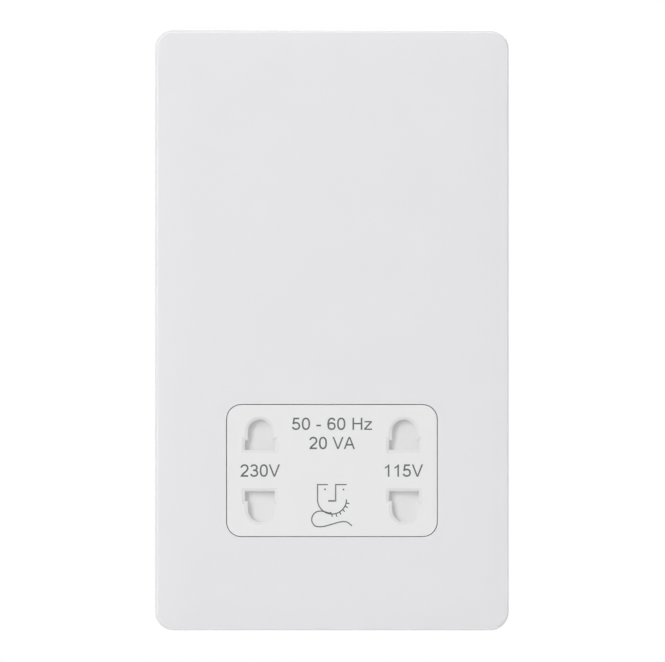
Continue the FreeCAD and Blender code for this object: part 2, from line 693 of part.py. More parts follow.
def make_outlet_cover():
    """The label panel, the four walls of the tower behind it, and the flange that the frame holds."""
    body = new_body("outlet_cover")
    tower = rounded("0", "panel_z", "panel_w", "panel_h", "panel_corner")
    prism(body, "Tower", "front", "face_y", "flange_t", tower)
    flange = rectangle("0", "panel_z", "flange_w", "flange_h")
    prism(body, "Flange", "front", "seat_y", "flange_t", flange)
    room = rounded("0", "panel_z", "tower_in_w", "tower_in_h", "tower_in_corner")
    hollow(body, "Room", "front", "panel_y", "flange_t", room)
    face = number("face_y")
    bevel(body, "PanelEdge", "panel_edge", lambda e: lies_at_y(e, face))
    holes = [aperture(side, end) for side in (-1, 1) for end in (-1, 1)]
    hollow(body, "Apertures", "front", "face_y", "panel_y", *holes)
    in_w, in_h = number("panel_w / 2 - panel_corner"), number("panel_h / 2 - panel_corner")

    def of_aperture(edge):
        across, up = abs(edge.CenterOfMass.x), abs(edge.CenterOfMass.z - number("panel_z"))
        return lies_at_y(edge, face) and across < in_w and up < in_h

    bevel(body, "HoleEdges", "hole_edge", of_aperture)
    return body


def diagonal(cx, cy, side, along, back, across):
    """A strip at 45 degrees in plan: from back, behind its centre, to along, ahead of it."""
    corners = []
    for reach, offset in ((along, 1), (along, -1), ("-(%s)" % back, -1), ("-(%s)" % back, 1)):
        x = "%s + %d * ((%s) - %d * (%s))" % (cx, side, reach, offset, across)
        y = "%s + (%s) + %d * (%s)" % (cy, reach, offset, across)
        corners.append((x, y))
    return polygon(*corners)


def make_outlet_body():
    """Four contact chambers behind the room that the shutters slide in, with a guide cheek at each end."""
    body = new_body("outlet_body")
    plate = rectangle("0", "panel_z", "flange_w", "flange_h")
    prism(body, "Ears", "front", "flange_t", "ear_y", plate)
    block = rounded("0", "panel_z", "2 * room_half + 2 * block_wall", "2 * block_half", "block_wall")
    prism(body, "Block", "front", "ear_y", "block_y", block)
    cheeks = []
    for end in (-1, 1):
        middle = "panel_z + %d * (cheek_in + cheek_out) / 2" % end
        cheeks.append(rectangle("0", middle, "2 * room_half", "cheek_t"))
    prism(body, "Cheeks", "front", "shutter_y", "flange_t", *cheeks)
    room = rectangle("0", "panel_z", "2 * room_half", "2 * cheek_in")
    hollow(body, "Room", "front", "flange_t", "room_y", room)
    chambers, slots = [], []
    for side in (-1, 1):
        for end in (-1, 1):
            x = "%d * pin_x" % side
            middle = "panel_z + %d * (chamber_low + chamber_high) / 2" % end
            chambers.append(rectangle(x, middle, "chamber_w", "chamber_high - chamber_low"))
            tail_z = "panel_z + %d * tail_at" % end
            slots.append(rectangle(x, tail_z, "tail_w + 2 * slide_gap", "strip_t + 2 * slide_gap"))
    hollow(body, "Chambers", "front", "room_y", "chamber_y", *chambers)
    hollow(body, "TailSlots", "front", "chamber_y", "block_y", *slots)
    guides, channels = [], []
    for side in (-1, 1):
        # The shutter moves towards the middle, which is +X on the left side.
        inward = -side
        x, y = "%d * pin_x" % side, "lug_y"
        reach = "lug_half + travel + slide_gap"
        guides.append(diagonal(x, y, inward, reach, "lug_half + shutter_t", "lug_across + slide_gap / 2"))
        x = "%d * pin_x + %d * stub_out" % (side, inward)
        y = "shutter_back + stub_out"
        channels.append(diagonal(x, y, inward, "spring_reach", "stub_out", "channel_half"))
    for end in (-1, 1):
        root = "panel_z + %d * (shutter_half - lug_root - slide_gap)" % end
        low, high = sorted((root, "panel_z + %d * (block_half + guide_past)" % end), key=number)
        hollow(body, "Guides%d" % (end + 1), "top", low, high, *guides)
    low, high = "panel_z - channel_high", "panel_z + channel_high"
    hollow(body, "SpringChannels", "top", low, high, *channels)
    return body


def make_shutter(name, side):
    """A flat blade over both apertures of one outlet, with a lug at each end and a stub for its spring."""
    body = new_body(name)
    inward = -side
    x = "%d * pin_x" % side
    blade = rectangle(x, "panel_z", "shutter_w", "2 * shutter_half")
    prism(body, name + "_blade", "front", "shutter_y", "shutter_back", blade)
    lug = diagonal(x, "lug_y", inward, "lug_half", "lug_half", "lug_across")
    for end in (-1, 1):
        root = "panel_z + %d * (shutter_half - lug_root)" % end
        tip = "panel_z + %d * (cheek_out - slide_gap)" % end
        low, high = sorted((root, tip), key=number)
        prism(body, "%s_lug%d" % (name, end + 1), "top", low, high, lug)
    stub_x = "%d * pin_x + %d * stub_out" % (side, inward)
    stub = diagonal(stub_x, "shutter_back + stub_out", inward, "0", "stub_out", "stub_half")
    prism(body, name + "_stub", "top", "panel_z - spring_r", "panel_z + spring_r", stub)
    return body


def make_spring(name, side):
    """A compression spring between the shutter's stub and the end of its channel, coiled in chords."""
    radius, pitch = number("spring_r"), number("spring_pitch")
    steps = int(number("spring_turns") * CHORDS)
    route = []
    for i in range(steps + 1):
        angle = 2 * math.pi * i / CHORDS
        route.append(Vector(radius * math.cos(angle), radius * math.sin(angle), pitch * i / CHORDS))
    wire_r = number("spring_wire") / 2
    section = flats(route[0], route[1] - route[0], wire_r, 6)
    spring = swept(section, Part.makePolygon(route))
    inward = -side
    direction = Vector(inward, 1, 0).normalize()
    foot = Vector(number("%d * pin_x + %d * stub_out" % (side, inward)), number("shutter_back + stub_out"), 0)
    foot.z = number("panel_z")
    turn = Rotation(Vector(0, 0, 1), direction)
    return formed(name, spring, Placement(foot + direction * wire_r, turn))


def flats(centre, normal, r, count):
    """A regular outline across a path, with the radius of its corners given."""
    across = normal.cross(Vector(0.3, 0.2, 1)).normalize()
    turns = [Rotation(normal, 360 * i / count) for i in range(count)]
    corners = [centre + turn.multVec(across) * r for turn in turns]
    return Part.makePolygon(corners + corners[:1])


def make_contact(name, side, end):
    """A strip folded into two legs that grip a pin or a blade, with a tail through the body's back."""
    half = number("strip_t") / 2
    back = number("chamber_y - contact_back") - half
    mouth = number("room_y + contact_mouth")
    inner = number("chamber_low + contact_side") + half
    grip = inner + number("grip_w") + 2 * half
    profile = [
        Vector(0, mouth, inner),
        Vector(0, back, inner),
        Vector(0, back, inner + number("contact_span")),
        Vector(0, mouth + number("contact_flare"), grip),
        Vector(0, mouth, number("pin_out - contact_out") - half),
    ]
    width = number("strip_w")
    section = Part.makePolygon(
        [
            Vector(-width / 2, mouth, inner - half),
            Vector(width / 2, mouth, inner - half),
            Vector(width / 2, mouth, inner + half),
            Vector(-width / 2, mouth, inner + half),
            Vector(-width / 2, mouth, inner - half),
        ]
    )
    strip = swept(section, Part.makePolygon(eased(profile, number("strip_bend"))))
    tail_w, tail_at = number("tail_w"), number("tail_at")
    tail = Part.makeBox(
        tail_w, number("tail_y") - back, 2 * half, Vector(-tail_w / 2, back, tail_at - half)
    )
    # The lower contacts are the upper one turned over about the line that the pins enter along.
    turn = Rotation(Vector(0, 1, 0), 0 if end > 0 else 180)
    place = Vector(side * number("pin_x"), 0, number("panel_z"))
    return formed(name, strip.fuse(tail).removeSplitter(), Placement(place, turn))


def make_link_bar():
    """The bar soldered across the two upper tails, which both outlets share."""
    bar = DOC.addObject("Part::Box", "common_link")
    bar.Label = "common_link"
    bar.setExpression("Length", expression("2 * pin_x + tail_w"))
    bar.setExpression("Width", expression("link_deep"))
    bar.setExpression("Height", expression("link_t"))
    bar.setExpression("Placement.Base.x", expression("-(pin_x + tail_w / 2)"))
    bar.setExpression("Placement.Base.y", expression("tail_y - link_in - link_deep"))
    bar.setExpression("Placement.Base.z", expression("panel_z + tail_at + strip_t / 2"))
    return bar


# Transformer

def make_core():
    """The stacked E and I laminations: two windows beside the centre leg, and four screw holes."""
    body = new_body("transformer_core")
    prism(body, "Stack", "front", "core_y", "core_back", rectangle("0", "core_z", "core_w", "core_h"))
    windows = []
    for side in (-1, 1):
        x = "%d * (core_leg + core_window / 2)" % side
        windows.append(rectangle(x, "core_z", "core_window", "window_h"))
    hollow(body, "Windows", "front", "core_y", "core_back", *windows)
    holes = circles(core_screw_places(), "core_screw_r + core_hole_gap")
    hollow(body, "ScrewHoles", "front", "core_y", "core_back", *holes)
    return body


def make_bobbin():
    """A square tube round the centre leg, with a cheek at each end and one between the windings."""
    body = new_body("bobbin")
    tube = rectangle("0", "core_mid_y", "tube_w", "tube_t")
    prism(body, "Tube", "top", "bobbin_bottom", "bobbin_top", tube)
    cheek = rectangle("0", "core_mid_y", "cheek_w", "cheek_deep")
    for step in (-1, 0, 1):
        middle = "core_z + %d * (section_h + bobbin_wall)" % step
        low, high = "%s - bobbin_wall / 2" % middle, "%s + bobbin_wall / 2" % middle
        prism(body, "Cheek%d" % (step + 1), "top", low, high, cheek)
    leg = rectangle("0", "core_mid_y", "tube_w - 2 * bobbin_wall", "tube_t - 2 * bobbin_wall")
    hollow(body, "Leg", "top", "bobbin_bottom", "bobbin_top", leg)
    return body


def make_winding(name, step):
    """A closed ring of wire in one section of the bobbin, with its corners cut off where it turns."""
    body = new_body(name)
    low = "core_z + %d * (section_h + bobbin_wall) / 2 - section_h / 2" % step
    w, deep = "tube_w + 2 * coil_build", "tube_t + 2 * coil_build"
    outer = cornered("0", "core_mid_y", w, deep, "coil_build / 2")
    inner = rectangle("0", "core_mid_y", "tube_w", "tube_t")
    prism(body, name + "_ring", "top", low, low + " + section_h", outer, inner)
    return body


def make_cutout():
    """The self-resetting thermal cut-out that lies on the bobbin's top cheek."""
    body = new_body("thermal_cutout")
    case = rectangle("-clamp_pitch", "lead_front + cutout_back", "cutout_w", "cutout_deep")
    prism(body, "Case", "top", "bobbin_top", "bobbin_top + cutout_h", case)
    return body


# Rear cover

def ear_outline(end, grow="0"):
    """A screw ear above the rear cover (1) or below it (-1), from its round end to inside the cover."""
    x, z = cover_screw_places()[0 if end > 0 else 1]
    foot = "cover_top - cover_corner" if end > 0 else "cover_bottom + cover_corner"
    middle, height = "(%s + %s) / 2" % (z, foot), "abs(%s - (%s)) + 2 * (ear_r + %s)" % (z, foot, grow)
    return rounded(x, middle, "2 * (ear_r + %s)" % grow, height, "0.99 * ear_r")


def make_rear_cover():
    """A deep box over the transformer and a shallower one over the outlet, with vents and two ears."""
    body = new_body("rear_cover")
    deep_z, deep_h = "(cover_top + cover_split) / 2", "cover_top - cover_split"
    deep = rounded("0", deep_z, "cover_w", deep_h, "cover_corner")
    prism(body, "Deep", "front", "seat_y", "cover_y", deep)
    low_z, low_h = "(cover_top + cover_bottom) / 2", "cover_top - cover_bottom"
    shallow = rounded("0", low_z, "cover_w", low_h, "cover_corner")
    prism(body, "Shallow", "front", "seat_y", "step_y", shallow)
    back, step, split = number("cover_y"), number("step_y"), number("cover_split")
    bevel(body, "BackEdge", "cover_edge", lambda e: lies_at_y(e, back))
    bevel(body, "StepEdge", "cover_edge", lambda e: lies_at_y(e, step) and e.CenterOfMass.z < split - 0.1)
    for index, end in enumerate((1, -1)):
        prism(body, "Ear%d" % index, "front", "seat_y", "cover_ear_t", ear_outline(end))
    in_z, in_h = "(cover_top_in + cover_split + cover_wall) / 2", "cover_top_in - cover_split - cover_wall"
    inside = rounded("0", in_z, "cover_in_w", in_h, "cover_corner - cover_wall")
    hollow(body, "DeepRoom", "front", "seat_y", "cover_in_y", inside)
    in_z, in_h = "(cover_top_in + cover_bottom_in) / 2", "cover_top_in - cover_bottom_in"
    inside = rounded("0", in_z, "cover_in_w", in_h, "cover_corner - cover_wall")
    hollow(body, "ShallowRoom", "front", "seat_y", "cover_step", inside)
    ribs = four("(flange_w / 2 - rib_hold + cover_in_w / 2) / 2", "rib_pitch / 2", "panel_z")
    rib_w = "cover_in_w / 2 - flange_w / 2 + rib_hold"
    hold = [rectangle(x, z, rib_w, "rib_t") for x, z in ribs]
    prism(body, "OutletRibs", "front", "ear_y", "cover_step", *hold)
    holes = circles(cover_screw_places(), "tap_r + tap_free")
    hollow(body, "EarHoles", "front", "seat_y", "cover_ear_t", *holes)
    vent_l = "core_h - 2 * vent_end"
    slots = [rectangle("%d * core_w / 12" % i, "core_z", "vent_w", vent_l) for i in range(-4, 5)]
    hollow(body, "BackVents", "front", "cover_in_y", "cover_y", *slots)
    slots = []
    for i in range(-3, 4):
        z = "core_z + %d * core_h / vent_count" % i
        slots.append(rectangle("core_mid_y", z, "side_vent_l", "vent_w"))
    hollow(body, "SideVents", "side", "-cover_w / 2", "cover_w / 2", *slots)
    notch_w, notch_deep = "2 * (clamp_pitch + lead_r + lead_free)", "2 * (lead_r + lead_free)"
    notch = rectangle("0", "lead_front", notch_w, notch_deep)
    hollow(body, "LeadNotch", "top", "cover_top_in", "cover_top", notch)
    return body


# Terminals

def clamp_places():
    return ["%d * clamp_pitch" % step for step in (-1, 0, 1)]


def make_terminal_block():
    """Three wells, open to the back for the screws and above for the supply wires."""
    body = new_body("terminal_block")
    outline = rectangle("0", "block_z", "block_w", "block_h")
    prism(body, "Block", "front", "seat_y", "block_deep", outline)
    well_w, well_h = "clamp_w + 2 * slide_gap", "clamp_h + 2 * slide_gap"
    wells = [rectangle(x, "clamp_z", well_w, well_h) for x in clamp_places()]
    hollow(body, "Wells", "front", "clamp_floor", "block_deep", *wells)
    entries = [circle(x, "wire_y", "wire_hole_r + wire_lead_in") for x in clamp_places()]
    hollow(body, "WireHoles", "top", "clamp_z", "block_z + block_h / 2", *entries)
    slot = "2 * lead_r + 2 * slide_gap"
    slots = [rectangle(x, "lead_front", slot, slot) for x in ("-clamp_pitch", "clamp_pitch")]
    hollow(body, "LeadSlots", "top", "block_z - block_h / 2", "clamp_z - clamp_h / 2", *slots)
    hollow(body, "PegHoles", "front", "seat_y", "peg_l + slide_gap", *squares(peg_places(), "peg_w"))
    return body


def make_clamp(name, x):
    """A brass terminal with a hole for the wire and a tapped hole for its screw."""
    body = new_body(name)
    outline = rectangle(x, "clamp_z", "clamp_w", "clamp_h")
    prism(body, name + "_bar", "front", "clamp_floor", "clamp_y", outline)
    wire = circle(x, "wire_y", "wire_hole_r")
    hollow(body, name + "_wire_hole", "top", "clamp_z - clamp_h / 2", "clamp_z + clamp_h / 2", wire)
    screw = circle(x, "clamp_z", "clamp_screw_r")
    hollow(body, name + "_screw_hole", "front", "wire_y", "clamp_y", screw)
    return body


# Screws

def make_screw(name, shank_r, length, head, head_h):
    """A screw that points to -Y from its seat, with the outline given for its head."""
    body = new_body(name)
    prism(body, name + "_shank", "front", "-(%s)" % length, "0", circle("0", "0", shank_r))
    if head:
        prism(body, name + "_head", "front", "0", head_h, head)
    return body


def slotted(body, name, top, depth, wide):
    slot = rectangle("0", "0", "4 * (%s)" % wide, wide)
    hollow(body, name + "_slot", "front", "(%s) - (%s)" % (top, depth), top, slot)
    return body


def hexagonal(r):
    """A hexagon with the radius of its corners given."""
    turns = [(1, 0), (0.5, 1), (-0.5, 1), (-1, 0), (-0.5, -1), (0.5, -1)]
    return polygon(*[("%s * (%s)" % (x, r), "%s * sqrt(3) / 2 * (%s)" % (z, r)) for x, z in turns])


def at(places, y):
    return [Vector(number(x), number(y), number(z)) for x, z in places]


def make_screws():
    """Each set of equal screws is one sub-part of separate pieces."""
    pan = circle("0", "0", "tap_head_r")
    tip = "pilot_y + tap_free"
    cover = make_screw("cover_screw", "tap_r", "cover_ear_t - (%s)" % tip, pan, "tap_head")
    slotted(cover, "cover_screw", "tap_head", "tap_head / 2", "tap_r / 2")
    hexagon_head = hexagonal("2 * core_screw_r")
    core_l = "core_back - pillar_skin - tap_free"
    core = make_screw("core_screw", "core_screw_r", core_l, hexagon_head, "1.4 * core_screw_r")
    grub = make_screw("terminal_screw", "clamp_screw_r", "clamp_screw_l", None, None)
    slotted(grub, "terminal_screw", "0", "clamp_screw_r / 2", "clamp_screw_r / 3")
    grub_y = "wire_y + wire_hole_r + tap_free + clamp_screw_l"
    clamps = [(x, "clamp_z") for x in clamp_places()]
    return [
        repeated("cover_screws", cover, at(cover_screw_places(), "cover_ear_t")),
        repeated("core_screws", core, at(core_screw_places(), "core_back")),
        repeated("terminal_screws", grub, at(clamps, grub_y)),
    ]


# Leads

def make_lead(name, *points):
    """An insulated lead with eight flats, along straight runs that are mitred where they meet."""
    corners = eased([Vector(*(number(value) for value in point)) for point in points], number("lead_ease"))
    section = flats(corners[0], corners[1] - corners[0], number("lead_r"), 8)
    return formed(name, swept(section, Part.makePolygon(corners)))


def make_leads():
    """Two leads come down from the terminals to the primary, and three from the secondary to the outlets."""
    clamp_foot = "clamp_z - clamp_h / 2"
    below = "core_low - lead_drop"
    link_y = "tail_y - link_in - link_deep / 2"
    behind = "tail_y + lead_r + lead_pass"
    leads = [
        make_lead(
            "lead_live",
            ("-clamp_pitch", "lead_front", clamp_foot),
            ("-clamp_pitch", "lead_front", "bobbin_top + cutout_h"),
        ),
        make_lead(
            "lead_neutral",
            ("clamp_pitch", "lead_front", clamp_foot),
            ("clamp_pitch", "lead_front", "bobbin_top"),
        ),
        make_lead(
            "lead_common",
            ("0", "lead_front", "bobbin_bottom"),
            ("0", "lead_front", below),
            ("0", link_y, below),
            ("0", link_y, "panel_z + tail_at + strip_t / 2 + link_t"),
        ),
    ]
    for name, side in (("lead_230", -1), ("lead_115", 1)):
        near, far = "%d * pin_x / 2" % side, "%d * pin_x" % side
        solder_y = "tail_y - tail_out / 2"
        leads.append(
            make_lead(
                name,
                (near, "lead_front", "bobbin_bottom"),
                (near, "lead_front", below),
                (near, behind, below),
                (near, behind, "panel_z + lead_turn"),
                (far, solder_y, "panel_z"),
                (far, solder_y, "panel_z - tail_at + strip_t / 2"),
            )
        )
    return leads


def make_all():
    fill_sheet()
    pieces = [make_front_plate(), make_mounting_frame(), make_outlet_cover(), make_outlet_body()]
    for name, side in (("230", -1), ("115", 1)):
        pieces.append(make_shutter("shutter_" + name, side))
        pieces.append(make_spring("shutter_spring_" + name, side))
        pieces.append(make_contact("contact_%s_upper" % name, side, 1))
        pieces.append(make_contact("contact_%s_lower" % name, side, -1))
    pieces.append(make_link_bar())
    pieces += [make_core(), make_bobbin()]
    pieces += [make_winding("primary_winding", 1), make_winding("secondary_winding", -1)]
    pieces += [make_cutout(), make_rear_cover(), make_terminal_block()]
    for name, x in zip(("live", "earth", "neutral"), clamp_places()):
        pieces.append(make_clamp("terminal_" + name, x))
    return pieces + make_screws() + make_leads()


def write(pieces):
    """Checks every object, then writes one STEP file for each sub-part."""
    DOC.recompute()
    for item in DOC.Objects:
        if "Invalid" in item.State or "Error" in item.State:
            raise ValueError("%s failed: %s" % (item.Name, item.State))
    for piece in pieces:
        shape = piece.Shape
        if shape.isNull() or not shape.isValid() or not shape.Solids:
            raise ValueError("%s has no valid solid" % piece.Label)
    os.makedirs("parts", exist_ok=True)
    for piece in pieces:
        piece.Shape.exportStep("parts/%s.step" % piece.Label)
        print("%-24s %2d solids %10.1f mm3" % (piece.Label, len(piece.Shape.Solids), piece.Shape.Volume))


write(make_all())
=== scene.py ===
import math

import bmesh
import bpy
import numpy as np
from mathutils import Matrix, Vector
from mathutils.geometry import tessellate_polygon


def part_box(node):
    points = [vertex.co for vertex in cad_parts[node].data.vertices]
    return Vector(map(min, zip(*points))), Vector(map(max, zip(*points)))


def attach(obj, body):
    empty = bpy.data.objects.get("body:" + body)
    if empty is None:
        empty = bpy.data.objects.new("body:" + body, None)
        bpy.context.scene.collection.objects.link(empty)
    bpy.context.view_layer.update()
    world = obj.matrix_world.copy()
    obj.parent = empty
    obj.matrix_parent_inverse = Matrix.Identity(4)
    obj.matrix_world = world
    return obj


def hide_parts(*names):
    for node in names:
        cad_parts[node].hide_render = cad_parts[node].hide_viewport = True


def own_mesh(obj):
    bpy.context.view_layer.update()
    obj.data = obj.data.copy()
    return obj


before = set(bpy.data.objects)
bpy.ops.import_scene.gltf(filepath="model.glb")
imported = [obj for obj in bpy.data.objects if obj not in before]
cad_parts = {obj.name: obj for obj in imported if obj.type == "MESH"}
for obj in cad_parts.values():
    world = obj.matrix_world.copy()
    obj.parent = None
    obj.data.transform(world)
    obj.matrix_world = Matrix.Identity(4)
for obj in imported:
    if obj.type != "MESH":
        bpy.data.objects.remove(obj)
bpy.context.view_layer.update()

# The shaver outlet, dressed for its portrait. Lengths below are millimetres, as in the part's own sizes,
# and are turned to metres where a mesh is made.
MM = 0.001

# cover plate
PLATE_W, PLATE_L, PLATE_R = 86.0, 146.0, 4.5
FACE_Y, SKIN_Y, RIM_Y = -7.5, -5.5, -0.4
WALL, EDGE_R = 1.8, 0.95
CROWN_DROP, CROWN_REACH = 0.5, 9.0
CATCH_BITE, CATCH_L, CATCH_PITCH = 0.8, 8.0, 50.0
CATCH_FRONT, CATCH_END, CATCH_TIP = -1.75, -0.5, 0.3
CATCH_ROOT, INNER_CUT = 0.2, 0.4
PRY_HALF, PRY_Y, PRY_IN = 4.5, -1.3, 0.6
# label panel
PANEL_Z, PANEL_W, PANEL_H, PANEL_R = -34.1, 51.02, 31.93, 3.5
PANEL_GAP, COLLAR_WALL, COLLAR_Y = 0.18, 1.2, -4.5
PANEL_BACK, TOWER_WALL, TOWER_END = -6.0, 1.5, 1.8
FLANGE_W, FLANGE_H, FLANGE_R, FLANGE_Y = 60.0, 38.5, 0.3, -0.4
PIN_X, PIN_HALF, PIN_R = 17.5, 9.5, 3.05
BLADE_IN, BLADE_OUT, BLADE_HALF = 4.9, 7.55, 3.75
PANEL_EDGE, HOLE_EDGE, HOLE_DIP, HOLE_ROUND, DRAFT = 0.08, 0.6, 0.16, 0.04, 0.14
# shutter springs
STUB_OUT, SHUTTER_BACK, SPRING_LONG, SPRING_SHUT = 2.4, -4.4, 14.78, 3.4
SPRING_R, WIRE_R, SPRING_TURNS, SPRING_SEAT, CLOSING = 1.6, 0.25, 6.5, 0.05, 0.45


# Finishes

def srgb(code):
    """An sRGB hex colour as linear RGBA."""
    channels = [int(code[i : i + 2], 16) / 255 for i in (1, 3, 5)]
    return [c / 12.92 if c <= 0.04045 else ((c + 0.055) / 1.055) ** 2.4 for c in channels] + [1.0]


def add(tree, kind, inputs=(), **settings):
    """Adds a node with its settings. An input is given a value, or another node's output to link to."""
    node = tree.nodes.new("ShaderNode" + kind)
    for name, value in settings.items():
        setattr(node, name, value)
    for name, value in dict(inputs).items():
        if isinstance(value, bpy.types.NodeSocket):
            tree.links.new(value, node.inputs[name])
        else:
            node.inputs[name].default_value = value
    return node


def finish(name):
    """An empty material, its node tree and the object's own coordinates."""
    material = bpy.data.materials.new(name)
    material.use_nodes = True
    tree = material.node_tree
    tree.nodes.clear()
    return material, tree, add(tree, "TexCoord").outputs["Object"]


# Noise mostly lies between these two, and is spread from there to the whole of a range.
SPAN = {"From Min": 0.3, "From Max": 0.7}
# Sizes of patterns in millimetres: where melt flowed, where hands and tools polished, the marks of a
# drawing die and their depth, a lamination, and how far light goes into a waxy plastic.
FLOW, WEAR, DIE_MARK, DIE_DEPTH, LAMINATION, WAX = 12.0, 4.0, 0.25, 0.004, 0.5, 0.6
# How far a finish's roughness strays to either side: moulded plastic and drawn metal.
MOULD_SPREAD, METAL_SPREAD = 0.03, 0.05
# A wave texture repeats after this many units at a scale of 1.
WAVE = math.pi / 10


def moulded(name, pale, dark, rough, grain, depth, ior=1.5, coat=0.0, glow=0.0):
    """A moulded plastic: slow change of tone over 12 mm as the melt flowed, a polish that varies over
    4 mm, and a surface grain of the given size and depth in millimetres."""
    material, tree, where = finish(name)
    flow = add(tree, "TexNoise", {"Vector": where, "Scale": 1 / (FLOW * MM)})
    share = add(tree, "MapRange", {"Value": flow.outputs["Fac"], **SPAN})
    tone = add(tree, "Mix", {0: share.outputs["Result"], 6: srgb(dark), 7: srgb(pale)}, data_type="RGBA")
    wear = add(tree, "TexNoise", {"Vector": where, "Scale": 1 / (WEAR * MM)})
    spread = {"To Min": rough - MOULD_SPREAD, "To Max": rough + MOULD_SPREAD}
    polish = add(tree, "MapRange", {"Value": wear.outputs["Fac"], **SPAN, **spread})
    skin = add(tree, "TexNoise", {"Vector": where, "Scale": 1 / (grain * MM)})
    slope = add(tree, "Bump", {"Height": skin.outputs["Fac"], "Distance": depth * MM, "Strength": 1.0})
    shader = add(tree, "BsdfPrincipled", {
        "Base Color": tone.outputs[2],
        "Roughness": polish.outputs["Result"],
        "IOR": ior,
        "Normal": slope.outputs["Normal"],
        "Coat Weight": coat,
        "Coat Roughness": 0.12,
        "Subsurface Weight": glow,
        "Subsurface Radius": (WAX * MM, WAX * MM, WAX * MM),
        "Subsurface Scale": 1.0,
    })
    add(tree, "OutputMaterial", {"Surface": shader.outputs["BSDF"]})
    return material


def drawn_metal(name, pale, dark, rough, size):
    """A plated or machined metal: small change of tone over the given size in millimetres and of
    polish over a third of it, with tool marks 0.25 mm apart."""
    material, tree, where = finish(name)
    cloud = add(tree, "TexNoise", {"Vector": where, "Scale": 1 / (size * MM), "Detail": 4.0})
    share = add(tree, "MapRange", {"Value": cloud.outputs["Fac"], **SPAN})
    tone = add(tree, "Mix", {0: share.outputs["Result"], 6: srgb(dark), 7: srgb(pale)}, data_type="RGBA")
    smear = add(tree, "TexNoise", {"Vector": where, "Scale": 3 / (size * MM), "Detail": 3.0})
    spread = {"To Min": rough - METAL_SPREAD, "To Max": rough + METAL_SPREAD}
    polish = add(tree, "MapRange", {"Value": smear.outputs["Fac"], **SPAN, **spread})
    marks = add(tree, "TexNoise", {"Vector": where, "Scale": 1 / (DIE_MARK * MM), "Detail": 3.0})
    slope = add(tree, "Bump", {"Height": marks.outputs["Fac"], "Distance": DIE_DEPTH * MM, "Strength": 1.0})
    shader = add(tree, "BsdfPrincipled", {
        "Base Color": tone.outputs[2],
        "Metallic": 1.0,
        "Roughness": polish.outputs["Result"],
        "Normal": slope.outputs["Normal"],
    })
    add(tree, "OutputMaterial", {"Surface": shader.outputs["BSDF"]})
    return material


def stacked_steel(name):
    """Silicon steel laminations, which show as dark and light lines across the stack's sides, with the
    blue-grey film of their annealing in clouds 9 mm across. A single lamination is too fine to show,
    so there is one dark line for two of them."""
    material, tree, where = finish(name)
    cloud = add(tree, "TexNoise", {"Vector": where, "Scale": 1 / (9.0 * MM), "Detail": 4.0})
    share = add(tree, "MapRange", {"Value": cloud.outputs["Fac"], **SPAN})
    colours = {6: srgb("#4A4F58"), 7: srgb("#6E7075")}
    film = add(tree, "Mix", {0: share.outputs["Result"], **colours}, data_type="RGBA")
    waves = {"Vector": where, "Scale": WAVE / (2 * LAMINATION * MM), "Distortion": 0.0}
    stack = add(tree, "TexWave", waves, wave_type="BANDS", bands_direction="Y")
    seam = add(tree, "MapRange", {"Value": stack.outputs["Fac"], "From Min": 0.0, "From Max": 0.25})
    lines = {0: seam.outputs["Result"], 6: srgb("#1E1F22"), 7: film.outputs[2]}
    tone = add(tree, "Mix", lines, data_type="RGBA")
    smear = add(tree, "TexNoise", {"Vector": where, "Scale": 1 / (2.5 * MM), "Detail": 3.0})
    polish = add(tree, "MapRange", {"Value": smear.outputs["Fac"], **SPAN, "To Min": 0.36, "To Max": 0.52})
    slope = add(tree, "Bump", {"Height": stack.outputs["Fac"], "Distance": 0.06 * MM, "Strength": 1.0})
    shader = add(tree, "BsdfPrincipled", {
        "Base Color": tone.outputs[2],
        "Metallic": 0.85,
        "Roughness": polish.outputs["Result"],
        "Normal": slope.outputs["Normal"],
    })
    add(tree, "OutputMaterial", {"Surface": shader.outputs["BSDF"]})
    return material


# Urea-formaldehyde, compression moulded: hard, white and glossy, with a faint orange peel.
UREA = moulded("moulded_urea", "#E8E8EA", "#E7E7E9", 0.22, 1.6, 0.0009, 1.56)
# Polycarbonate for the label panel: a shade lighter, with a finer satin.
PANEL = moulded("satin_polycarbonate", "#EBEBEB", "#EBEBEB", 0.31, 1.1, 0.0008, 1.58)
# The same plastic on the slopes round the apertures, where the mould's inserts leave it matt. Its
# grey is painted shade: the shade that falls on these slopes, painted into their colour.
LIP = moulded("matt_polycarbonate_painted_shade", "#DFDFDF", "#DEDEDE", 0.55, 1.1, 0.0008, 1.58)
# Acetal shutters: waxy and slightly see-through at their edges.
ACETAL = moulded("waxy_acetal", "#E9E9E9", "#E7E7E7", 0.34, 0.9, 0.002, 1.48, glow=0.15)
# Polycarbonate of the hidden mouldings: off white and matt, spark-eroded.
FRAME = moulded("eroded_polycarbonate", "#E2E2DF", "#DFDFDC", 0.5, 0.35, 0.012, 1.58)
COVER = moulded("vent_cover_polycarbonate", "#DEDEDB", "#DBDBD8", 0.46, 0.4, 0.014, 1.58)
# Nylon of the contact body and terminal block, with the flow marks of its glass fibres.
BODY = moulded("filled_nylon", "#DBDBD6", "#D6D6D1", 0.52, 0.7, 0.01, 1.53)
BLOCK = moulded("grey_nylon", "#D2D2CD", "#CCCCC7", 0.48, 0.7, 0.01, 1.53)
BOBBIN = moulded("glass_filled_nylon", "#2A2A2D", "#1F1F22", 0.42, 0.5, 0.012, 1.53)
CUTOUT = moulded("pressed_phenolic", "#3A3A3F", "#2E2E33", 0.36, 0.6, 0.008, 1.6)
# Screen-printed ink: neutral grey, matt and level.
INK = moulded("screen_ink", "#5E6164", "#5A5D60", 0.55, 0.3, 0.001, 1.5)
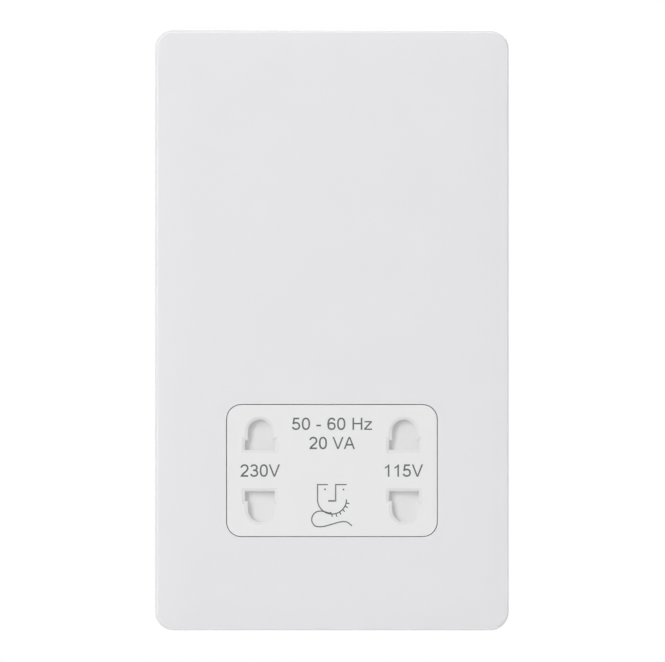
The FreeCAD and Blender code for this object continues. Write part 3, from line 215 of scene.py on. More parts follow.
# PVC sleeves of the leads.
SLEEVES = {
    "lead_live": moulded("brown_pvc", "#6B4630", "#5F3D2A", 0.36, 0.8, 0.003, 1.53),
    "lead_neutral": moulded("blue_pvc", "#2F5FA8", "#2A5698", 0.36, 0.8, 0.003, 1.53),
    "lead_common": moulded("black_pvc", "#26262A", "#1F1F22", 0.36, 0.8, 0.003, 1.53),
    "lead_230": moulded("red_pvc", "#B3261E", "#A2221B", 0.36, 0.8, 0.003, 1.53),
    "lead_115": moulded("white_pvc", "#E6E6E0", "#DCDCD6", 0.36, 0.8, 0.003, 1.53),
}
# Brass strip, rolled and folded, and brass bar, turned and tapped.
STRIP = drawn_metal("rolled_brass", "#E3C46E", "#D6B45C", 0.33, 3.0)
BAR = drawn_metal("machined_brass", "#DDBB63", "#CFAA52", 0.33, 2.0)
# Zinc plating on the screws, and bright patented spring wire.
ZINC = drawn_metal("zinc_plate", "#C9CCD0", "#BEC1C6", 0.33, 2.5)
WIRE = drawn_metal("spring_wire", "#C4C6C9", "#AEB0B4", 0.22, 1.5)
CORE = stacked_steel("silicon_steel_stack")
# Polyester film tape over the windings: clear yellow, glossy, with the wire's ridges showing through.
TAPE = moulded("polyester_tape", "#E5C431", "#D9B426", 0.22, 2.2, 0.02, 1.64, coat=0.5)

NODE_FINISHES = {
    "front_plate": UREA,
    "mounting_frame": FRAME,
    "outlet_cover": PANEL,
    "outlet_body": BODY,
    "shutter_230": ACETAL,
    "shutter_115": ACETAL,
    "shutter_spring_230": WIRE,
    "shutter_spring_115": WIRE,
    "contact_230_upper": STRIP,
    "contact_230_lower": STRIP,
    "contact_115_upper": STRIP,
    "contact_115_lower": STRIP,
    "common_link": STRIP,
    "transformer_core": CORE,
    "bobbin": BOBBIN,
    "primary_winding": TAPE,
    "secondary_winding": TAPE,
    "thermal_cutout": CUTOUT,
    "rear_cover": COVER,
    "terminal_block": BLOCK,
    "terminal_live": BAR,
    "terminal_earth": BAR,
    "terminal_neutral": BAR,
    "cover_screws": ZINC,
    "core_screws": ZINC,
    "terminal_screws": ZINC,
    **SLEEVES,
}
for node, material in NODE_FINISHES.items():
    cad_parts[node].data.materials.clear()
    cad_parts[node].data.materials.append(material)


# Surfaces

def net(grid, around=True):
    """The points and quads of a grid (rows, columns, 3). With around, each row is a closed loop."""
    rows, columns = grid.shape[:2]
    index = np.arange(rows * columns).reshape(rows, columns)
    if around:
        index = np.concatenate([index, index[:, :1]], axis=1)
    quads = np.stack([index[:-1, :-1], index[:-1, 1:], index[1:, 1:], index[1:, :-1]], axis=-1)
    return grid.reshape(-1, 3), quads.reshape(-1, 4)


def level(loops, y):
    """A flat face at depth y: the area inside the first loop less the others, in triangles."""
    triangles = tessellate_polygon([np.pad(loop, ((0, 0), (0, 1))) for loop in loops])
    flat = np.concatenate(loops)
    return np.stack([flat[:, 0], np.full(len(flat), y), flat[:, 1]], axis=1), np.array(triangles)


def shown(name, mesh):
    """The mesh as a piece of the scene, whose large faces keep their own slope beside a rounded edge."""
    piece = bpy.data.objects.new(name, mesh)
    bpy.context.scene.collection.objects.link(piece)
    slope = piece.modifiers.new("slope", "WEIGHTED_NORMAL")
    slope.keep_sharp = True
    return piece


def shell(name, parts, material, smooth_angle=35.0, weld=0.001):
    """One mesh in metres from several nets in millimetres, each with its caps, welded where they meet,
    with its faces turned outwards and its edges kept sharp above the given angle."""
    points, faces, count = [], [], 0
    for part_points, part_faces, *caps in parts:
        points.append(part_points)
        faces += (part_faces + count).tolist()
        faces += [(cap + count).tolist() for cap in caps]
        count += len(part_points)
    mesh = bpy.data.meshes.new(name)
    mesh.from_pydata((np.concatenate(points) * MM).tolist(), [], faces)
    work = bmesh.new()
    work.from_mesh(mesh)
    bmesh.ops.remove_doubles(work, verts=work.verts, dist=weld * MM)
    bmesh.ops.dissolve_degenerate(work, edges=work.edges, dist=weld * MM)
    bmesh.ops.recalc_face_normals(work, faces=work.faces)
    work.to_mesh(mesh)
    work.free()
    corners = np.zeros(len(mesh.polygons), dtype=np.int32)
    mesh.polygons.foreach_get("loop_total", corners)
    mesh.polygons.foreach_set("use_smooth", corners == 4)
    mesh.set_sharp_from_angle(angle=math.radians(smooth_angle))
    mesh.materials.append(material)
    return shown(name, mesh)


# where a side of a rounded rectangle has its points, as shares of its straight half
SIDE = np.linspace(-1, 1, 14)[1:-1]


def rounded_loop(w, h, r, cz=0.0, sides=(SIDE, SIDE, SIDE, SIDE), arc=12):
    """A rounded rectangle, anticlockwise from its lower side: each side's points at the given shares
    of its straight half, then a quarter circle."""
    loops = []
    for turn in range(4):
        half, reach = (w / 2 - r, h / 2) if turn % 2 == 0 else (h / 2 - r, w / 2)
        angle = np.radians(np.linspace(-90, 0, arc + 1))
        along = np.concatenate([sides[turn] * half, half + r * np.cos(angle)])
        out = np.concatenate([np.full(len(sides[turn]), -reach), r - reach + r * np.sin(angle)])
        spin = math.radians(90 * turn)
        x = along * math.cos(spin) - out * math.sin(spin)
        z = along * math.sin(spin) + out * math.cos(spin)
        loops.append(np.stack([x, z], axis=1))
    return np.concatenate(loops) + (0, cz)


def stacked(rings):
    """Loops of (x, z) and their depths, as a grid of points."""
    return np.stack([np.stack([loop[:, 0], np.full(len(loop), y), loop[:, 1]], axis=1) for loop, y in rings])


def carried(profile, path, reference):
    """A profile of (across, up) carried along a path: at each point, across is the tangent crossed
    with the reference, and up is across crossed with the tangent. The ends are capped."""
    tangent = np.gradient(path, axis=0)
    tangent /= np.linalg.norm(tangent, axis=1, keepdims=True)
    across = np.cross(tangent, reference)
    across /= np.linalg.norm(across, axis=1, keepdims=True)
    up = np.cross(across, tangent)
    grid = path[:, None] + profile[None, :, :1] * across[:, None] + profile[None, :, 1:] * up[:, None]
    points, quads = net(grid)
    count = len(profile)
    return points, quads, np.arange(count), np.arange(len(points) - count, len(points))


def ring_profile(r, sides):
    """Points round a circle."""
    angle = np.arange(sides) * 2 * np.pi / sides
    return np.stack([r * np.cos(angle), r * np.sin(angle)], axis=1)


def fitted(piece, nodes=(), body="outlet"):
    """Rides the piece on its body, and hides the nodes it stands for."""
    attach(piece, body)
    if nodes:
        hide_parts(*nodes)
    return piece


# Cover plate

def cover_plate():
    """Rings round the plate: the opening's edge, the flat face, the crown, the edge, the side wall, the
    rim, the inside and the collar. The crown falls by its drop times the square of the share of its
    reach that is crossed; the edge is a quarter circle. The rim steps in by the lever's notch, whose
    ends are pairs of points a hair apart."""
    edge = PRY_HALF / (PLATE_W / 2 - PLATE_R)
    hair, near = 1e-4, 0.02
    notch = np.array([-edge - hair, -edge, edge, edge + hair])
    low = np.sort(np.concatenate([SIDE[np.abs(np.abs(SIDE) - edge) > near], notch]))
    sides = (low, SIDE, SIDE, SIDE)

    def outer(inset, r=None):
        """The plate's outline, moved inwards."""
        return rounded_loop(PLATE_W - 2 * inset, PLATE_L - 2 * inset, r or PLATE_R - inset, 0.0, sides)

    def opening(grow):
        """The panel's outline, moved outwards."""
        w, h = PANEL_W + 2 * grow, PANEL_H + 2 * grow
        return rounded_loop(w, h, PANEL_R + grow, PANEL_Z, sides)

    gap, soft = PANEL_GAP, PANEL_EDGE
    rings = []
    for a in np.radians(np.linspace(90, 0, 5)):
        rings.append((opening(gap + soft - soft * math.sin(a)), FACE_Y + soft - soft * math.cos(a)))
    for share in np.linspace(0, 1, 15):
        inset = EDGE_R + CROWN_REACH * (1 - share)
        rings.append((outer(inset, PLATE_R - EDGE_R), FACE_Y + CROWN_DROP * share**2))
    base = FACE_Y + CROWN_DROP + EDGE_R
    for a in np.radians(np.linspace(90, 0, 10))[1:]:
        inset = EDGE_R * (1 - math.cos(a))
        rings.append((outer(inset), base - EDGE_R * math.sin(a)))
    rim_first = len(rings)
    rings += [(outer(0.0), RIM_Y), (outer(PRY_IN), RIM_Y), (outer(PRY_IN), RIM_Y)]
    rings += [(outer(WALL), RIM_Y), (outer(WALL), SKIN_Y + INNER_CUT), (outer(WALL + INNER_CUT), SKIN_Y)]
    collar = gap + COLLAR_WALL
    rings += [(opening(collar), SKIN_Y), (opening(collar), COLLAR_Y), (opening(gap), COLLAR_Y)]
    grid = stacked(rings)
    in_notch = (np.abs(grid[rim_first, :, 0]) < PRY_HALF + 0.001) & (grid[rim_first, :, 2] < 0)
    grid[rim_first : rim_first + 2, in_notch, 1] = PRY_Y
    grid = np.concatenate([grid, grid[:1]])
    return fitted(shell("cover_plate", [net(grid)], UREA, 40), ["front_plate"])


def plate_catches():
    """Wedges on the plate's inner walls: a five-sided profile pulled along the wall."""
    parts = []

    def wedge(wall, side, swap, low, high):
        """One catch on a wall, along Z from low to high, or along X where the axes are swapped."""
        corners = [
            (wall + CATCH_ROOT, CATCH_FRONT),
            (wall - CATCH_BITE, CATCH_FRONT),
            (wall - CATCH_BITE, CATCH_FRONT + CATCH_TIP),
            (wall, CATCH_END),
            (wall + CATCH_ROOT, CATCH_END),
        ]
        across, depth = np.array(corners).T * [[side], [1]]
        ends = [np.full(len(corners), end) for end in (low, high)]
        rows = [(along, depth, across) if swap else (across, depth, along) for along in ends]
        points, quads = net(np.stack([np.stack(row, axis=1) for row in rows]))
        cap = np.arange(len(corners))
        parts.append((points, quads, cap, cap + len(corners)))

    for side in (-1, 1):
        for middle in (-CATCH_PITCH, 0.0, CATCH_PITCH):
            wedge(PLATE_W / 2 - WALL, side, False, middle - CATCH_L / 2, middle + CATCH_L / 2)
        wedge(PLATE_L / 2 - WALL, side, True, -CATCH_L, CATCH_L)
    return fitted(shell("plate_catches", parts, UREA, 30))


cover_plate()
plate_catches()


# Label panel

def aperture_loop(side, end, grow):
    """A pin's arch on a blade's step, grown by a distance all round: 24 chords of half a circle
    and six corners."""
    r, half = PIN_R + grow, BLADE_HALF + grow
    angle = np.radians(np.linspace(0, 180, 25))
    arch = np.stack([r * np.cos(angle), PIN_HALF + r * np.sin(angle)], axis=1)
    step = BLADE_OUT + grow
    foot = BLADE_IN - grow
    corners = np.array([(-r, step), (-half, step), (-half, foot), (half, foot), (half, step), (r, step)])
    loop = np.concatenate([arch, corners])
    return np.stack([side * PIN_X + loop[:, 0], PANEL_Z + end * loop[:, 1]], axis=1)


def label_panel():
    """The panel's level face with its four apertures. The panel's edge is a quarter circle. Round an
    aperture the face dips by a shallow slope to a small quarter circle, and the aperture's wall widens
    by its draft towards the back. Behind the face are the tower's walls and the flange. The slopes
    and their rounds, which lie just behind the face and inside the border, take the matt lip material,
    whose greyer colour is painted shade."""

    def quarter(r, y, steps=5):
        """A quarter circle from the face down to the wall, as distances from the wall and depths."""
        turn = np.radians(np.linspace(0, 90, steps))
        return [(r * (1 - math.sin(a)), y + r * (1 - math.cos(a))) for a in turn]

    holes = [(side, end) for side in (-1, 1) for end in (-1, 1)]

    def tower(grow):
        """The panel's outline, moved outwards."""
        return rounded_loop(PANEL_W + 2 * grow, PANEL_H + 2 * grow, PANEL_R + grow, PANEL_Z)

    rings = [(tower(-inset), y) for inset, y in quarter(PANEL_EDGE, FACE_Y)] + [(tower(0.0), FLANGE_Y)]
    flange = rounded_loop(FLANGE_W, FLANGE_H, FLANGE_R, PANEL_Z)
    rings += [(flange, FLANGE_Y), (flange, TOWER_END)]
    rings += [(tower(-TOWER_WALL), TOWER_END), (tower(-TOWER_WALL), PANEL_BACK)]
    parts = [net(stacked(rings))]
    for side, end in holes:
        lip = [(HOLE_EDGE + DRAFT, FACE_Y)] + quarter(HOLE_ROUND, FACE_Y + HOLE_DIP)
        loops = [(aperture_loop(side, end, grow - DRAFT), y) for grow, y in lip]
        loops.append((aperture_loop(side, end, 0.0), PANEL_BACK))
        parts.append(net(stacked(loops)))
    rounded_holes = [aperture_loop(side, end, HOLE_EDGE) for side, end in holes]
    parts.append(level([tower(-PANEL_EDGE)] + rounded_holes, FACE_Y))
    plain_holes = [aperture_loop(side, end, 0.0) for side, end in holes]
    parts.append(level([tower(-TOWER_WALL)] + plain_holes, PANEL_BACK))
    panel = shell("label_panel", parts, PANEL, 12)
    panel.data.materials.append(LIP)
    centres = np.zeros(3 * len(panel.data.polygons))
    panel.data.polygons.foreach_get("center", centres)
    x, y, z = centres.reshape(-1, 3).T / MM
    border, skin = 1.0, 0.001
    inside = (np.abs(x) < PANEL_W / 2 - border) & (np.abs(z - PANEL_Z) < PANEL_H / 2 - border)
    in_lip = inside & (y > FACE_Y + skin) & (y < FACE_Y + HOLE_DIP + HOLE_ROUND)
    # Faces on the slopes round the apertures take the lip material, whose greyer colour is painted shade.
    panel.data.polygons.foreach_set("material_index", in_lip.astype(np.int32))
    return fitted(panel, ["outlet_cover"])


label_panel()


# Print on the panel

# The ink stands a little proud and reaches into the face. Strokes that meet differ in height by a
# lift, so that no two faces lie in one plane.
INK_PROUD, INK_REACH, LIFT = 0.012, 0.01, 0.001
INK_FRONT, INK_BACK = FACE_Y - INK_PROUD, FACE_Y + INK_REACH
# a stem's width as a share of a capital's height
STEM = 0.135


def bowl(cx, cz, rx, rz, start, end, square=0.9, count=29):
    """Part of an oval from one angle to another in degrees: an ellipse whose cosine and sine are
    raised to a power below 1, which squares its shoulders a little."""
    angle = np.radians(np.linspace(start, end, count))
    c, s = np.cos(angle), np.sin(angle)
    x = cx + rx * np.sign(c) * np.abs(c) ** square
    return np.stack([x, cz + rz * np.sign(s) * np.abs(s) ** square], axis=1)


def curved(knots, count=25):
    """A smooth line through knots: on each span, a cubic whose end slopes are half the step between
    the knots on either side."""
    knots = np.array(knots, float)
    padded = np.concatenate([2 * knots[:1] - knots[1:2], knots, 2 * knots[-1:] - knots[-2:-1]])
    share = np.linspace(0, len(knots) - 1, count)
    at = np.minimum(share.astype(int), len(knots) - 2)
    t = (share - at)[:, None]
    p0, p1, p2, p3 = (padded[at + i] for i in range(4))
    a, b = 2 * p0 - 5 * p1 + 4 * p2 - p3, 3 * p1 - p0 - 3 * p2 + p3
    return 0.5 * (2 * p1 + (p2 - p0) * t + a * t**2 + b * t**3)


# Plain upright letters in units of a capital's height: the step to the next letter, centre lines drawn
# with the stem's width, and closed outlines.
GLYPHS = {
    " ": (0.388, [], []),
    "-": (0.465, [[(0.05, 0.36), (0.41, 0.36)]], []),
    "0": (0.777, [bowl(0.388, 0.5, 0.262, 0.445, 90, 450, 0.84, 49)], []),
    "1": (0.777, [], [[
        (0.395, 0.0), (0.52, 0.0), (0.52, 1.0), (0.44, 1.0), (0.375, 0.915), (0.275, 0.835), (0.152, 0.772),
        (0.152, 0.655), (0.27, 0.705), (0.395, 0.785),
    ]]),
    "2": (0.777, [np.concatenate([
        bowl(0.372, 0.692, 0.262, 0.253, 172, -18),
        curved([(0.6, 0.575), (0.51, 0.45), (0.37, 0.325), (0.245, 0.215), (0.165, 0.115)]),
        [(0.14, 0.0625), (0.665, 0.0625)],
    ])], []),
    "3": (0.777, [
        np.concatenate([bowl(0.365, 0.735, 0.235, 0.21, 166, -90), [(0.29, 0.525)]]),
        np.concatenate([[(0.33, 0.525)], bowl(0.375, 0.29, 0.268, 0.235, 90, -168)]),
    ], []),
    "5": (0.777, [
        [(0.635, 0.9375), (0.232, 0.9375), (0.158, 0.475)],
        bowl(0.375, 0.322, 0.27, 0.268, 147, -165),
    ], []),
    "6": (0.777, [
        bowl(0.4, 0.312, 0.255, 0.256, 90, 450, 0.9, 41),
        curved([
            (0.636, 0.75), (0.585, 0.88), (0.42, 0.945), (0.245, 0.87), (0.16, 0.7), (0.128, 0.49),
            (0.147, 0.3),
        ]),
    ], []),
    "H": (1.008, [], [
        [(0.113, 0.0), (0.24, 0.0), (0.24, 0.463), (0.768, 0.463), (0.768, 0.0), (0.895, 0.0), (0.895, 1.0),
         (0.768, 1.0), (0.768, 0.58), (0.24, 0.58), (0.24, 1.0), (0.113, 1.0)],
    ]),
    "V": (0.931, [], [
        [(0.4, 0.0), (0.53, 0.0), (0.925, 1.0), (0.79, 1.0), (0.468, 0.155), (0.14, 1.0), (0.006, 1.0)],
    ]),
    "A": (0.931, [[(0.24, 0.352), (0.69, 0.352)]], [
        [(0.0, 0.0), (0.135, 0.0), (0.466, 0.872), (0.797, 0.0), (0.931, 0.0), (0.54, 1.0), (0.392, 1.0)],
    ]),
    "z": (0.698, [], [
        [(0.028, 0.0), (0.662, 0.0), (0.662, 0.11), (0.195, 0.11), (0.64, 0.625), (0.64, 0.725),
         (0.058, 0.725), (0.058, 0.616), (0.472, 0.616), (0.028, 0.1)],
    ]),
}


def stroke(line, width, lift=0.0):
    """A line of ink: a flat strip of one width whose corners are mitred. A line that ends where it
    starts is a closed ring."""
    line = np.array(line, float)
    step = np.diff(line, axis=0)
    step /= np.linalg.norm(step, axis=1, keepdims=True)
    normal = np.stack([-step[:, 1], step[:, 0]], axis=1)
    closed = np.allclose(line[0], line[-1])
    before = np.concatenate([normal[-1:] if closed else normal[:1], normal])
    after = np.concatenate([normal, normal[:1] if closed else normal[-1:]])
    shift = (before + after) * width / ((before + after) ** 2).sum(axis=1, keepdims=True)
    front, back = np.full(len(line), INK_FRONT - lift), np.full(len(line), INK_BACK)
    sides = [(line + shift, front), (line - shift, front), (line - shift, back), (line + shift, back)]
    grid = np.stack([np.stack([flat[:, 0], y, flat[:, 1]], axis=1) for flat, y in sides], axis=1)
    points, quads = net(grid)
    ends = [] if closed else [np.arange(4), np.arange(len(points) - 4, len(points))]
    return [(points, quads, *ends)]


def blot(outline, lift=0.0):
    """A flat shape of ink inside a closed outline."""
    loop = np.array(outline, float)
    front, back = INK_FRONT - lift, INK_BACK
    return [net(stacked([(loop, front), (loop, back)])), level([loop], front), level([loop], back)]


def legend(name, words, cx, cz, capital, wide):
    """Words centred on a point, with a capital's height in millimetres and how far they are widened."""
    at, marks = 0.0, []
    for letter in words:
        advance, lines, shapes = GLYPHS[letter]
        marks += [(stroke, np.array(line) + (at, 0)) for line in lines]
        marks += [(blot, np.array(outline) + (at, 0)) for outline in shapes]
        at += advance
    parts = []
    for index, (draw, mark) in enumerate(marks):
        flat = (mark - (at / 2, 0.5)) * (capital * wide, capital) + (cx, cz)
        lift = LIFT * (index % 3)
        parts += stroke(flat, STEM * capital, lift) if draw is stroke else blot(flat, lift)
    return fitted(shell(name, parts, INK, 30, weld=0.0004))


legend("legend_left", "230V", -17.47, -34.09, 2.99, 1.0)
legend("legend_right", "115V", 17.29, -34.09, 2.99, 1.0)
legend("legend_top", "50 - 60 Hz", 0.0, -22.73, 2.95, 1.04)
legend("legend_second", "20 VA", 0.0, -27.39, 2.95, 1.0)


def shaver_symbol():
    """The general sign for a shaver outlet, in lines of one width: square brows, two eyes, a nose, a
    half-round chin with ticks of stubble, and a cord that leaves the chin in a loop."""
    line, thick, brow = 0.28, 0.36, -37.5
    chin_x, chin_z, chin_r = 0.03, -41.14, 3.51
    chin = bowl(chin_x, chin_z, chin_r, chin_r, 180, 361, 1.0, 49)
    strokes = [
        (np.concatenate([[(-0.98, brow), (chin_x - chin_r, brow), (chin_x - chin_r, -39.4)], chin]), line),
        ([(3.6, brow), (0.92, brow), (0.92, -41.6)], line),
        ([(0.75, -41.46), (-0.9, -41.46)], thick),
    ]
    for start, end in (
        ((-0.02, -44.62), (0.07, -45.3)),
        ((0.98, -44.5), (1.22, -45.3)),
        ((1.85, -44.1), (2.2, -44.78)),
        ((2.6, -43.56), (3.12, -44.1)),
        ((3.2, -42.72), (3.86, -43.12)),
        ((3.5, -41.98), (4.26, -42.1)),
    ):
        strokes.append(([start, end], line))
    cord = curved([
        (-0.37, -44.5), (-1.2, -44.26), (-2.1, -44.0), (-2.94, -43.93), (-3.8, -44.15), (-4.5, -44.78),
        (-4.88, -45.7), (-4.75, -46.7), (-3.92, -47.62), (-2.2, -47.7), (-0.6, -47.3), (0.94, -46.85),
        (1.96, -46.59), (3.0, -46.48), (3.85, -46.7), (4.88, -47.52),
    ], 121)
    strokes.append((cord, line))
    parts = []
    for index, (points, width) in enumerate(strokes):
        parts += stroke(points, width, LIFT * (index % 3))
    dots = [(-1.69, -38.66, 0.23), (2.81, -38.68, 0.22), (-0.36, -44.46, 0.3)]
    for x, z, r in dots:
        parts += blot(bowl(x, z, r, r, 0, 345, 1.0, 24), 3 * LIFT)
    return fitted(shell("shaver_symbol", parts, INK, 30, weld=0.0004))


shaver_symbol()


# Behind the plate

def shutter_spring(name, side):
    """A round wire carried along a helix whose pitch closes at both ends: the climb is a straight one
    blended with a smooth step of the turn, by the closing share."""
    share = np.linspace(0, 1, int(SPRING_TURNS * 24) + 1)
    long = SPRING_LONG - 2 * (WIRE_R + SPRING_SEAT)
    climb = long * ((1 - CLOSING) * share + CLOSING * share**2 * (3 - 2 * share))
    angle = 2 * np.pi * SPRING_TURNS * share
    inward = np.array([-side, 1.0, 0.0]) / math.sqrt(2)
    foot = np.array([side * PIN_X - side * STUB_OUT, SHUTTER_BACK + STUB_OUT, PANEL_Z])
    axes = np.array([np.cross(inward, (0, 0, 1.0)), (0, 0, 1.0)])
    ring = SPRING_R * (np.cos(angle)[:, None] * axes[0] + np.sin(angle)[:, None] * axes[1])
    path = foot + (climb + WIRE_R + SPRING_SEAT)[:, None] * inward + ring
    piece = shell(name, [carried(ring_profile(WIRE_R, 10), path, inward)], WIRE, 50)
    fitted(piece, ["shutter_spring_" + name[-3:]])
    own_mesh(piece)
    return piece


shutter_spring("coil_230", -1)
shutter_spring("coil_115", 1)


def node_box(name):
    """A node's low and high corners in millimetres."""
    return [np.array(corner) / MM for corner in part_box(name)]


# coil: its build on the bobbin's tube, its corner and its tube's corner, the space at each end, the
# height of a ridge and how much its middle stands out
COIL_BUILD, COIL_R, TUBE_R, COIL_END, RIDGE, BOW = 5.5, 3.2, 0.4, 0.03, 0.12, 0.1


def winding(name, node, pitch):
    """A coil in its section of the bobbin: rounded loops up its height whose reach swells and sinks
    once for each turn of wire."""
    low, high = node_box(node)
    cx, cy = (low[0] + high[0]) / 2, (low[1] + high[1]) / 2
    w, deep, tall = high - low
    turns = int(tall / pitch)
    rows = np.linspace(0, 1, turns * 6 + 1)
    sunk = RIDGE * (1 - np.abs(np.sin(np.pi * turns * rows))) + BOW * (2 * rows - 1) ** 2
    foot, head = low[2] + COIL_END, high[2] - COIL_END
    inner = rounded_loop(w - 2 * COIL_BUILD, deep - 2 * COIL_BUILD, TUBE_R, arc=8)
    loops = [(inner, foot)]
    for row, sink in zip(rows, sunk):
        loop = rounded_loop(w - 2 * sink, deep - 2 * sink, COIL_R, arc=8)
        loops.append((loop, foot + row * (tall - 2 * COIL_END)))
    loops += [(inner, head), (inner, foot)]
    grid = stacked(loops)
    grid = np.stack([cx + grid[..., 0], cy + grid[..., 2], grid[..., 1]], axis=-1)
    return fitted(shell(name, [net(grid)], TAPE, 50), [node])


winding("primary_coil", "primary_winding", 0.6)
winding("secondary_coil", "secondary_winding", 0.9)


# degrees: triangles closer than the first are one flat face, edges sharper than the second are eased,
# and those sharper than the third stay crisp. Points closer than the merge, in millimetres, are one.
FLAT, EASED, CRISP, MERGE = 0.5, 30, 50, 0.0005


def eased(node, width, body="outlet"):
    """A CAD node with eased edges: a copy whose triangles are merged into flat faces, with a small
    round of the given width in millimetres on each sharp edge."""
    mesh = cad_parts[node].data.copy()
    work = bmesh.new()
    work.from_mesh(mesh)
    bmesh.ops.remove_doubles(work, verts=work.verts, dist=MERGE * MM)
    bmesh.ops.dissolve_limit(work, angle_limit=math.radians(FLAT), verts=work.verts, edges=work.edges)
    work.to_mesh(mesh)
    work.free()
    mesh.polygons.foreach_set("use_smooth", np.ones(len(mesh.polygons), dtype=bool))
    mesh.set_sharp_from_angle(angle=math.radians(CRISP))
    piece = shown(node + "_eased", mesh)
    edge = piece.modifiers.new("edge", "BEVEL")
    edge.width, edge.segments = width * MM, 2
    edge.limit_method, edge.angle_limit = "ANGLE", math.radians(EASED)
    piece.modifiers.move(1, 0)
    return fitted(piece, [node], body)


for node, slot, width in (
    ("mounting_frame", "frame_plastic", 0.15),
    ("outlet_body", "body_plastic", 0.12),
    ("rear_cover", "cover_plastic", 0.25),
    ("terminal_block", "block_plastic", 0.3),
    ("thermal_cutout", "cutout_plastic", 0.3),
    ("bobbin", "bobbin_plastic", 0.15),
    ("transformer_core", "core_steel", 0.06),
    ("terminal_live", "terminal_brass", 0.12),
    ("terminal_earth", "terminal_brass", 0.12),
    ("terminal_neutral", "terminal_brass", 0.12),
    ("core_screws", "screw_steel", 0.2),
    ("contact_230_upper", "contact_brass", 0.05),
    ("contact_230_lower", "contact_brass", 0.05),
    ("contact_115_upper", "contact_brass", 0.05),
    ("contact_115_lower", "contact_brass", 0.05),
    ("common_link", "contact_brass", 0.05),
):
    eased(node, width)
for name in ("230", "115"):
    eased("shutter_" + name, 0.12, "shutter_" + name)


# screw: its slot's width as a share of the head's radius, its slot's depth as a share of the head's
# height or the shank's radius, its thread's depth as a share of the pitch, and its tip's radius
SLOT_WIDE, SLOT_DEEP, THREAD_DEEP, TIP_R = 0.26, 0.6, 0.5, 0.55


def screw(cx, cz, tip, top, head_r, head_h, shank_r, pitch, dome):
    """A slotted screw that points at the room. The head's top falls from its middle by the dome times
    the square of the share of the radius, less the slot. The shank's radius falls from each crest of
    its thread by a straight V whose place climbs one pitch for each turn."""
    slot, sunk = head_r * SLOT_WIDE, min(head_h, shank_r) * SLOT_DEEP
    angle = np.linspace(0, math.acos(slot / 2 / head_r), 11)
    land = -head_r * np.cos(angle)
    across = np.concatenate([land, [-slot / 2, 0.0, slot / 2], -land[::-1]])
    column = np.arange(len(across))
    in_slot = (column >= len(land)) & (column < len(land) + 3)
    up = np.linspace(-1, 1, 13)[:, None] * np.sqrt(np.maximum(head_r**2 - across**2, 0))
    x = np.broadcast_to(across, up.shape)
    y = np.where(in_slot, top - sunk, top - dome * (x**2 + up**2) / head_r**2)
    face = np.stack([x, y, up], axis=-1)
    rim = np.concatenate([face[-1], face[0, ::-1]])
    way = rim[:, [0, 2]] / head_r
    seat = top - head_h
    rows = [rim, np.stack([rim[:, 0], np.full(len(rim), seat), rim[:, 2]], axis=1)]
    turn = np.arctan2(way[:, 1], way[:, 0]) / (2 * np.pi)
    for depth in np.linspace(seat, tip + shank_r / 2, int((seat - tip) / pitch * 8)):
        share = np.abs((depth / pitch + turn) % 1 * 2 - 1)
        r = shank_r - THREAD_DEEP * pitch * share
        rows.append(np.stack([way[:, 0] * r, np.full(len(rim), depth), way[:, 1] * r], axis=1))
    r = shank_r * TIP_R
    rows.append(np.stack([way[:, 0] * r, np.full(len(rim), tip), way[:, 1] * r], axis=1))
    points, quads = net(np.stack(rows))
    top_points, top_quads = net(face, around=False)
    middle = np.array([cx, 0.0, cz])
    tip_cap = np.arange(len(points) - len(rim), len(points))
    return [(points + middle, quads, tip_cap), (top_points + middle, top_quads)]


def screws(name, node, head_h, head_r, shank_r, pitch, dome, places):
    """A set of equal screws at the given places, which stand for one CAD node."""
    low, high = node_box(node)
    parts = []
    for cx, cz in places:
        parts += screw(cx, cz, low[1], high[1], head_r, head_h, shank_r, pitch, dome)
    return fitted(shell(name, parts, ZINC, 30), [node])


PAN_R, CLAMP_X = 2.4, 10.0
low, high = node_box("cover_screws")
ends = [(low[0] + PAN_R, high[2] - PAN_R), (high[0] - PAN_R, low[2] + PAN_R)]
pan = {"head_h": 1.5, "head_r": PAN_R, "shank_r": 1.2, "pitch": 0.5, "dome": 0.45}
screws("pan_screws", "cover_screws", places=ends, **pan)
low, high = node_box("terminal_screws")
grub_r = (high[2] - low[2]) / 2
grubs = [(x, low[2] + grub_r) for x in (-CLAMP_X, 0.0, CLAMP_X)]
grub = {"head_h": 0.4, "head_r": grub_r, "shank_r": grub_r, "pitch": 0.5, "dome": 0.12}
screws("grub_screws", "terminal_screws", places=grubs, **grub)


def lead(node, material, r, points):
    """A round sleeve along a smooth spline through the lead's route."""
    curve = bpy.data.curves.new(node + "_route", "CURVE")
    curve.dimensions = "3D"
    spline = curve.splines.new("NURBS")
    spline.points.add(len(points) - 1)
    route = np.array(points) * MM
    spline.points.foreach_set("co", np.column_stack([route, np.ones(len(route))]).ravel())
    spline.order_u = 3
    spline.use_endpoint_u = True
    spline.resolution_u = 8
    curve.bevel_depth = r * MM
    curve.bevel_resolution = 4
    curve.use_fill_caps = True
    source = bpy.data.objects.new(node + "_source", curve)
    mesh = bpy.data.meshes.new_from_object(source)
    bpy.data.objects.remove(source)
    mesh.materials.clear()
    mesh.materials.append(material)
    piece = bpy.data.objects.new(node.replace("lead", "sleeve"), mesh)
    bpy.context.scene.collection.objects.link(piece)
    return fitted(piece, [node])


